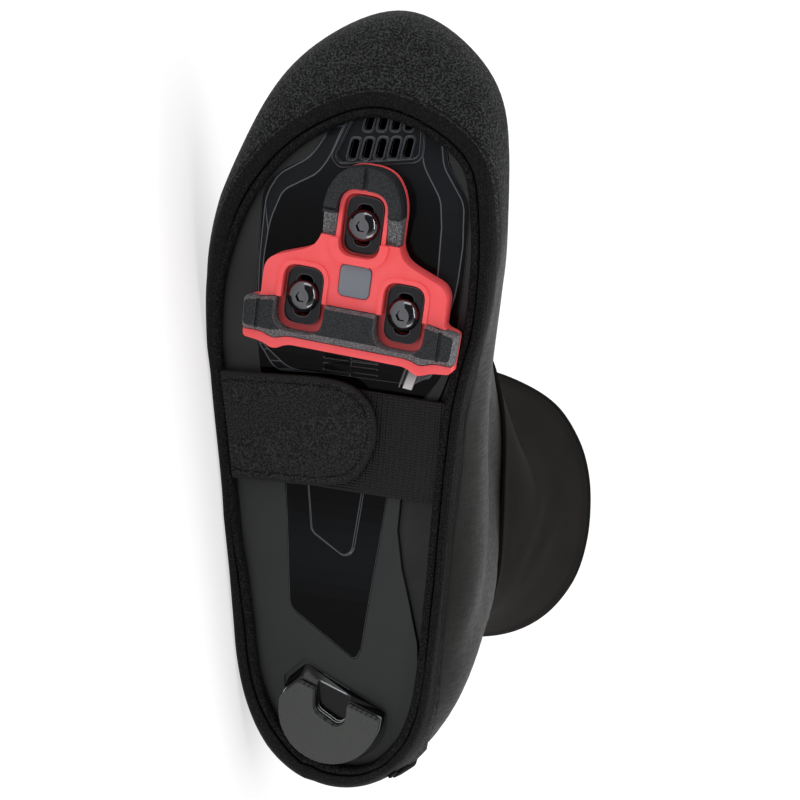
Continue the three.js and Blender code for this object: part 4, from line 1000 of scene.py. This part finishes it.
TAIL_CHAMFER = 2.8
tail_pad = plate("cleat_tail_rubber", mirrored(TAIL_HALF), PAD_FACE + TAIL_CHAMFER, 4.54)
low_top = PAD_FACE + TAIL_CHAMFER + 0.05
low_part = plate("low_part", mirrored(TAIL_HALF), PAD_FACE, low_top, mirrored(TAIL_HALF_LOW))
combine(tail_pad, [low_part], "UNION")
END_NOTCH = [(33.6, 160, 1), (35.2, 160, 1), (35.2, 200, 1), (33.6, 200, 1)]
for side in (1, -1):
    outline = [(CLEAT_MIDDLE + side * x, y, radius) for x, y, radius in END_NOTCH][::side]
    combine(tail_pad, [plate("notch", outline, -6, PAD_FACE + 1)], "DIFFERENCE")
combine(tail_pad, [plate("hole", around(bolt, SLOT, 1.8), *THROUGH) for bolt in BOLTS[:2]], "DIFFERENCE")
round_edges(tail_pad, 0.7, 3, 30)
set_cleat_piece(tail_pad)
wear(tail_pad, "cleat_pad", "cleat_tail_pad")

badge_outline = stadium(*BADGE_AT, BADGE_WIDTH, BADGE_WIDTH, BADGE_CORNER)
badge = plate("cleat_badge_plate", badge_outline, CLEAT_FACE - 0.5, CLEAT_FACE + 0.6)
round_edges(badge, 0.2, 2, 30)
set_cleat_piece(badge)
wear(badge, "badge_grey", "cleat_badge")

# %% [markdown]
# ## Washers and bolts
# The washers are stamped plates, made as the others are. A bolt is turned on a lathe, and spin is the lathe
# of edit mode: half a profile goes once round the axis. The three differ only in their place.

# %% Turn the bolts and cut the washers
WASHER = (13.6, 21.2, 5.0)
WASHER_HOLE = (6.2, 15.4, 2.9)
WASHER_LOW, WASHER_HIGH = 2.34, 4.34
HEAD_HIGH = 2.04
BOLT_PROFILE = [
    (0, -0.96), (2.8, -0.96), (3.2, -0.8), (4.4, -0.25), (5.3, 0.55), (5.9, 1.2), (6.0, 1.6),
    (5.9, HEAD_HIGH), (2.4, HEAD_HIGH), (2.4, 8.5), (0, 8.5),
]
SPIN_STEPS = 40
SOCKET, SOCKET_FLOOR = 4.2, 1.2
for i, bolt in enumerate(BOLTS, 1):
    washer = plate("washer_%d_black" % i, around(bolt, WASHER), WASHER_LOW, WASHER_HIGH)
    combine(washer, [plate("hole", around(bolt, WASHER_HOLE), *THROUGH)], "DIFFERENCE")
    # The washer's bevels take the painted edge highlight
    round_edges(washer, 0.3, 2, 30, FINISH["painted_edge_highlight"])
    set_cleat_piece(washer)
    wear(washer, "washer", "cleat_washer_%d" % i)

    mesh = bpy.data.meshes.new("bolt_%d_steel" % i)
    steps_up = [(k, k + 1) for k in range(len(BOLT_PROFILE) - 1)]
    mesh.from_pydata([(r, 0, z) for r, z in BOLT_PROFILE], steps_up, [])
    turned = bpy.data.objects.new(mesh.name, mesh)
    bpy.context.scene.collection.objects.link(turned)
    with editing(turned):
        bpy.ops.mesh.spin(steps=SPIN_STEPS, angle=2 * math.pi, center=(0, 0, 0), axis=(0, 0, 1),
                          use_auto_merge=True)
        bpy.ops.mesh.select_all(action="SELECT")
        bpy.ops.mesh.remove_doubles(threshold=EDGE_MERGE)
        bpy.ops.mesh.normals_make_consistent(inside=False)
    for vertex in mesh.vertices:
        vertex.co += Vector((*bolt, 0))
    hexagon = arc(bolt, SOCKET / 2, [k * math.pi / 3 for k in range(6)], 0.05)
    combine(turned, [plate("socket", hexagon, -2, SOCKET_FLOOR)], "DIFFERENCE")
    round_edges(turned, 0.15, 2, 50)
    set_cleat_piece(turned)
    wear(turned, "bolt_steel", "cleat_bolt_%d" % i)

# %% [markdown]
# ## The cloth
# The cloth's folds are pressed one by one: each fold is a soft trough along a few points in the shoe's
# millimetres, with a low ridge on both sides. Inner and outer face move together, so the cloth keeps its
# thickness. Sculpting would do the same with a brush, but a row of points can be read and changed.

# %% Move cloth in the shoe's millimetres
def shoe_points(piece):
    flat = np.empty(len(piece.data.vertices) * 3)
    piece.data.vertices.foreach_get("co", flat)
    turn, shift = np.array(TO_SHOE.to_3x3()), np.array(TO_SHOE.translation)
    return flat.reshape(-1, 3) @ turn.T + shift


def put_points(piece, points):
    turn, shift = np.array(SHOE.to_3x3()), np.array(SHOE.translation)
    piece.data.vertices.foreach_set("co", (points @ turn.T + shift).ravel())
    piece.data.update()


FOOT_MIDDLE = (0, 0, 48)
ANKLE_MIDDLE = (-4, 72, 0)


def outward_from_foot(points):
    """Directions away from the foot's own middle, square to its length."""
    away = points * (1, 0, 1) - FOOT_MIDDLE
    return away / np.linalg.norm(away, axis=1, keepdims=True)


def outward_from_ankle(points):
    """Level directions away from the ankle's middle."""
    away = points * (1, 1, 0) - ANKLE_MIDDLE
    return away / np.linalg.norm(away, axis=1, keepdims=True)


def from_line(points, line):
    """How far each point lies from a line of points, and how far along it, from 0 to 1."""
    line = np.array(line, dtype=float)
    nearest, place = np.full(len(points), 1e9), np.zeros(len(points))
    for i in range(len(line) - 1):
        start, step = line[i], line[i + 1] - line[i]
        share = np.clip((points - start) @ step / (step @ step), 0, 1)
        gap = np.linalg.norm(points - start - share[:, None] * step, axis=1)
        closer = gap < nearest
        nearest[closer] = gap[closer]
        place[closer] = (i + share[closer]) / (len(line) - 1)
    return nearest, place


RIDGE_SHARE = 0.45
RIDGE_PLACE, RIDGE_WIDTH = 1.9, 0.8
FOLD_END = 0.04


def press_folds(piece, folds, outward):
    """Folds are rows of a line, a width and a depth in millimetres. A negative depth is a ridge."""
    points = shoe_points(piece)
    directions = outward(points)
    total = np.zeros(len(points))
    for line, width, depth in folds:
        gap, place = from_line(points, line)
        trough = np.exp(-(gap / width) ** 2)
        ridges = RIDGE_SHARE * np.exp(-((gap / width - RIDGE_PLACE) / RIDGE_WIDTH) ** 2)
        fading = np.sin(np.pi * np.clip(place, FOLD_END, 1 - FOLD_END)) ** 0.5
        total += depth * (ridges - trough) * fading
    put_points(piece, points + directions * total[:, None])


# %% [markdown]
# ## The upper, the rand and the hem
# The real cover is pulled over the shoe: its opening stretches wider in the middle than at its ends, and the
# coated panel, which is sewn over the rand on the inner side, runs down smoothly to a low edge. Both are soft
# changes of a form that is right already, so the copies' points are moved by tables along the shoe's length.

# %% Make the cloth pieces
binding = smooth_copy("opening_binding", "opening_tape")
upper = smooth_copy("upper", "upper_fabric")
rand = smooth_copy("rand", "rand_fabric")
shaft = smooth_copy("shaft", "shaft_fabric")

# The coated fabric comes down low on the inner side, to this height over the length of the shoe
COATING_EDGE = [
    (0, 40), (12, 27), (21, 18.6), (37, 12.4), (51, 10.9), (69, 10.3), (82, 11.0), (95, 12.3), (108, 13.4),
    (121, 14.8), (134, 15.5), (147, 14.8), (165, 14.7), (174, 12.6), (183, 11.6), (194, 12.5), (205, 14.1),
    (215, 21.6), (224, 42),
]
EDGE_SOFTNESS = 1.2


def over_edge(points):
    """0 below the coating's edge on the inner side and on the whole outer side, and 1 above the edge."""
    lengths, heights = zip(*COATING_EDGE)
    edge = np.interp(points[:, 1], lengths, heights)
    above = np.clip((points[:, 2] - edge) / EDGE_SOFTNESS + 0.5, 0, 1)
    return above * (points[:, 0] < 0)


# The opening's edge is drawn wider than the solids have it, by these widths over the length of the shoe
WIDER_OUTER = [
    (8, 0.5), (14, 2.0), (22, 2.6), (60, 2.5), (80, 3.4), (100, 4.9), (130, 4.5), (154, 4.0), (164, 4.6),
    (184, 3.2), (205, 1.2), (230, 0.5), (255, 0),
]
WIDER_INNER = [
    (10, 2.5), (15, 4.4), (25, 4.9), (35, 4.2), (50, 3.0), (75, 1.7), (100, 2.0), (121, 2.7), (140, 3.6),
    (161, 4.4), (180, 4.6), (200, 2.8), (225, 2.2), (240, 1.5), (255, 0),
]
DRAWN_WIDTH = 15
OPENING_MIDDLE = 8


def tree_of(points):
    tree = KDTree(len(points))
    for i, point in enumerate(points):
        tree.insert(point, i)
    tree.balance()
    return tree


def distances(tree, points):
    return np.array([tree.find(point)[2] for point in points])


def draw_wider(piece, edge_tree):
    """Draws the cloth outwards at the opening's edge, and less and less away from it."""
    points = shoe_points(piece)
    share = np.clip(1 - distances(edge_tree, points) / DRAWN_WIDTH, 0, 1)
    share = share * share * (3 - 2 * share)
    outer = np.interp(points[:, 1], *zip(*WIDER_OUTER))
    inner = np.interp(points[:, 1], *zip(*WIDER_INNER))
    points[:, 0] += share * np.where(points[:, 0] > OPENING_MIDDLE, outer, -inner)
    put_points(piece, points)


edge_tree = tree_of(shoe_points(binding))
for piece in (rand, upper, binding):
    draw_wider(piece, edge_tree)

# On the outer side the cloth lies closer to the sole than the solids do, from this far out and up to a height
CLOSER = [(8, 0), (25, 1.6), (60, 1.9), (190, 1.9), (220, 0)]
CLOSER_FROM, CLOSER_TO = 40, 52
CLOSER_LOW, CLOSER_HIGH = 35, 60
for piece in (rand, upper):
    points = shoe_points(piece)
    share = np.clip((points[:, 0] - CLOSER_FROM) / (CLOSER_TO - CLOSER_FROM), 0, 1)
    share *= np.clip((CLOSER_HIGH - points[:, 2]) / (CLOSER_HIGH - CLOSER_LOW), 0, 1)
    points[:, 0] -= share * np.interp(points[:, 1], *zip(*CLOSER))
    put_points(piece, points)

# Above the coating's edge the upper swells a little and the rand sinks under it
SWELL, SWELL_TOP, SWELL_FADE = 1.7, 31, 22
SINK = 3.0
points = shoe_points(upper)
swell = over_edge(points) * np.clip(1 - (points[:, 2] - SWELL_TOP) / SWELL_FADE, 0, 1)
put_points(upper, points + outward_from_foot(points) * (SWELL * swell)[:, None])
points = shoe_points(rand)
put_points(rand, points - outward_from_foot(points) * (SINK * over_edge(points))[:, None])

# The coated fabric runs smoothly over the step in the wall that holds the rand
SMOOTH_TOP, SMOOTH_FADE = 62, 10
LEAST_SHARE = 0.02
points = shoe_points(upper)
smoothed = over_edge(points) * np.clip((SMOOTH_TOP - points[:, 2]) / SMOOTH_FADE, 0, 1)
group = upper.vertex_groups.new(name="over_the_step")
for i in np.flatnonzero(smoothed > LEAST_SHARE):
    group.add([int(i)], float(smoothed[i]), "REPLACE")
make_active(upper)
smoothing = upper.modifiers.new("smoothing", "SMOOTH")
smoothing.factor, smoothing.iterations, smoothing.vertex_group = 0.5, 24, group.name
bpy.ops.object.modifier_apply(modifier=smoothing.name)

# %% Press the folds
# Over the instep, at the ankle's bend and along both sides, and a soft ridge down the inner heel
UPPER_FOLDS = [
    ([(-30, 172, 62), (-12, 178, 76), (12, 178, 76), (34, 170, 60)], 3.0, 0.9),
    ([(-33, 158, 66), (-14, 163, 83), (14, 163, 84), (36, 156, 64)], 2.6, 0.8),
    ([(-36, 140, 58), (-30, 137, 80), (-14, 134, 100)], 3.2, 1.0),
    ([(40, 140, 58), (32, 137, 80), (16, 134, 100)], 3.2, 1.0),
    ([(-39, 120, 40), (-36, 108, 62), (-33, 92, 88)], 3.4, 0.9),
    ([(44, 118, 40), (40, 106, 62), (36, 92, 88)], 3.4, 0.9),
    ([(-38, 84, 36), (-38, 66, 60), (-33, 52, 86)], 3.0, 0.7),
    ([(38, 84, 36), (38, 66, 60), (33, 52, 86)], 3.0, 0.7),
    ([(-40, 206, 30), (-32, 200, 48), (-14, 196, 62)], 3.6, 0.6),
    ([(52, 190, 30), (40, 190, 48), (20, 190, 62)], 3.6, 0.6),
    ([(-38, 76, 98), (-37, 62, 60), (-34, 42, 34), (-30, 26, 26)], 13, -2.6),
]
for piece in (upper, rand):
    press_folds(piece, UPPER_FOLDS, outward_from_foot)
SHAFT_FOLDS = [
    ([(-40, 70, 116), (-30, 106, 112), (0, 128, 108), (34, 110, 112), (44, 74, 116)], 3.0, 0.8),
    ([(-36, 40, 112), (-10, 22, 118), (18, 22, 118), (40, 42, 112)], 3.0, 0.8),
    ([(-44, 90, 150), (-46, 76, 138), (-44, 60, 128)], 5.0, 0.6),
    ([(30, 112, 150), (40, 96, 140), (46, 78, 134)], 5.0, 0.6),
]
press_folds(shaft, SHAFT_FOLDS, outward_from_ankle)

# %% Mark how far the cloth lies from the opening's tape
edge_tree = tree_of(shoe_points(binding))
for piece in (rand, upper):
    marks = piece.data.attributes.new("from_edge", "FLOAT", "POINT")
    marks.data.foreach_set("value", distances(edge_tree, shoe_points(piece)))

wear(binding, "binding", "opening_binding")
wear(upper, "coated_fabric", "upper")
wear(rand, "textile", "rand")
wear(shaft, "shaft_fabric", "shaft")

# %% [markdown]
# ## The strap and the zip
# A knitted elastic band is sewn in on the inner side, and a hook-and-loop tab from the outer side closes on
# it. Such short straps lie nearly flat, so instead of a cloth simulation both are cut as plates with rounded
# rims, sliced into a grid and laid in soft waves. Their outer ends are sewn under the hem.

# %% Lay the tab and the band
TAB = [
    (46.0, 115.6, 1), (12.0, 117.0, 8), (-1.6, 120.5, 9), (-8.4, 136.0, 9), (-6.8, 149.0, 9), (2.0, 157.0, 9),
    (15.0, 158.4, 6), (53.4, 155.6, 1),
]
BAND = [(-34.5, 115.8, 1), (24.0, 116.4, 1), (24.0, 155.4, 1), (-34.5, 154.4, 1)]
# Rows of a name, an outline, the lower and upper face's height, a slot and a node
STRAPS = [
    ("strap_tab_felt", TAB, 8.9, 10.8, "hook_textile", "strap_tab"),
    ("strap_band_knit", BAND, 11.2, 12.7, "elastic", "strap_band"),
]
STRAP_GRID = 2.5
STRAP_MIDDLE, STRAP_HALF = 136, 20
WAVE_HEIGHT, RIM_LIFT = 0.25, 0.35


def strap_wave(x, y):
    """How far the strap's soft waves go towards the foot, in millimetres. Its rims lift away from it."""
    from_middle = (y - STRAP_MIDDLE) / STRAP_HALF
    return WAVE_HEIGHT * math.sin(0.21 * y + 0.09 * x) - RIM_LIFT * from_middle ** 4


def lay_strap(piece, outline):
    round_edges(piece, 0.45, 3, 30)
    for axis in (0, 1):
        slice_mesh(piece, axis, STRAP_GRID)
    line = [(*point, 0) for point in rounded(outline)]
    points = np.array([(*vertex.co.xy, 0) for vertex in piece.data.vertices])
    marks = piece.data.attributes.new("from_rim", "FLOAT", "POINT")
    marks.data.foreach_set("value", from_line(points, line)[0])
    for vertex in piece.data.vertices:
        vertex.co.z += strap_wave(vertex.co.x, vertex.co.y)
    set_in_shoe(piece, smooth_angle=40)


for name, outline, low, high, slot, node in STRAPS:
    strap = plate(name, outline, low, high)
    lay_strap(strap, outline)
    wear(strap, slot, node)

# %% Sew in the zip's coil and its lower stop
# Rows of a node, a name, a share of its size, and how deep it is pressed into the cloth
ZIP_PARTS = [("zip_coil", "zip_coil_nylon", 1.0, 1.4), ("zip_stop", "zip_stop_nylon", 0.7, 1.6)]
for node, name, share, depth in ZIP_PARTS:
    piece = smooth_copy(node, name, levels=1, crease=0.5)
    points = shoe_points(piece)
    middle = points.mean(axis=0)
    points = middle + (points - middle) * share
    put_points(piece, points - outward_from_ankle(points) * depth)
    wear(piece, "zip_coil", node)
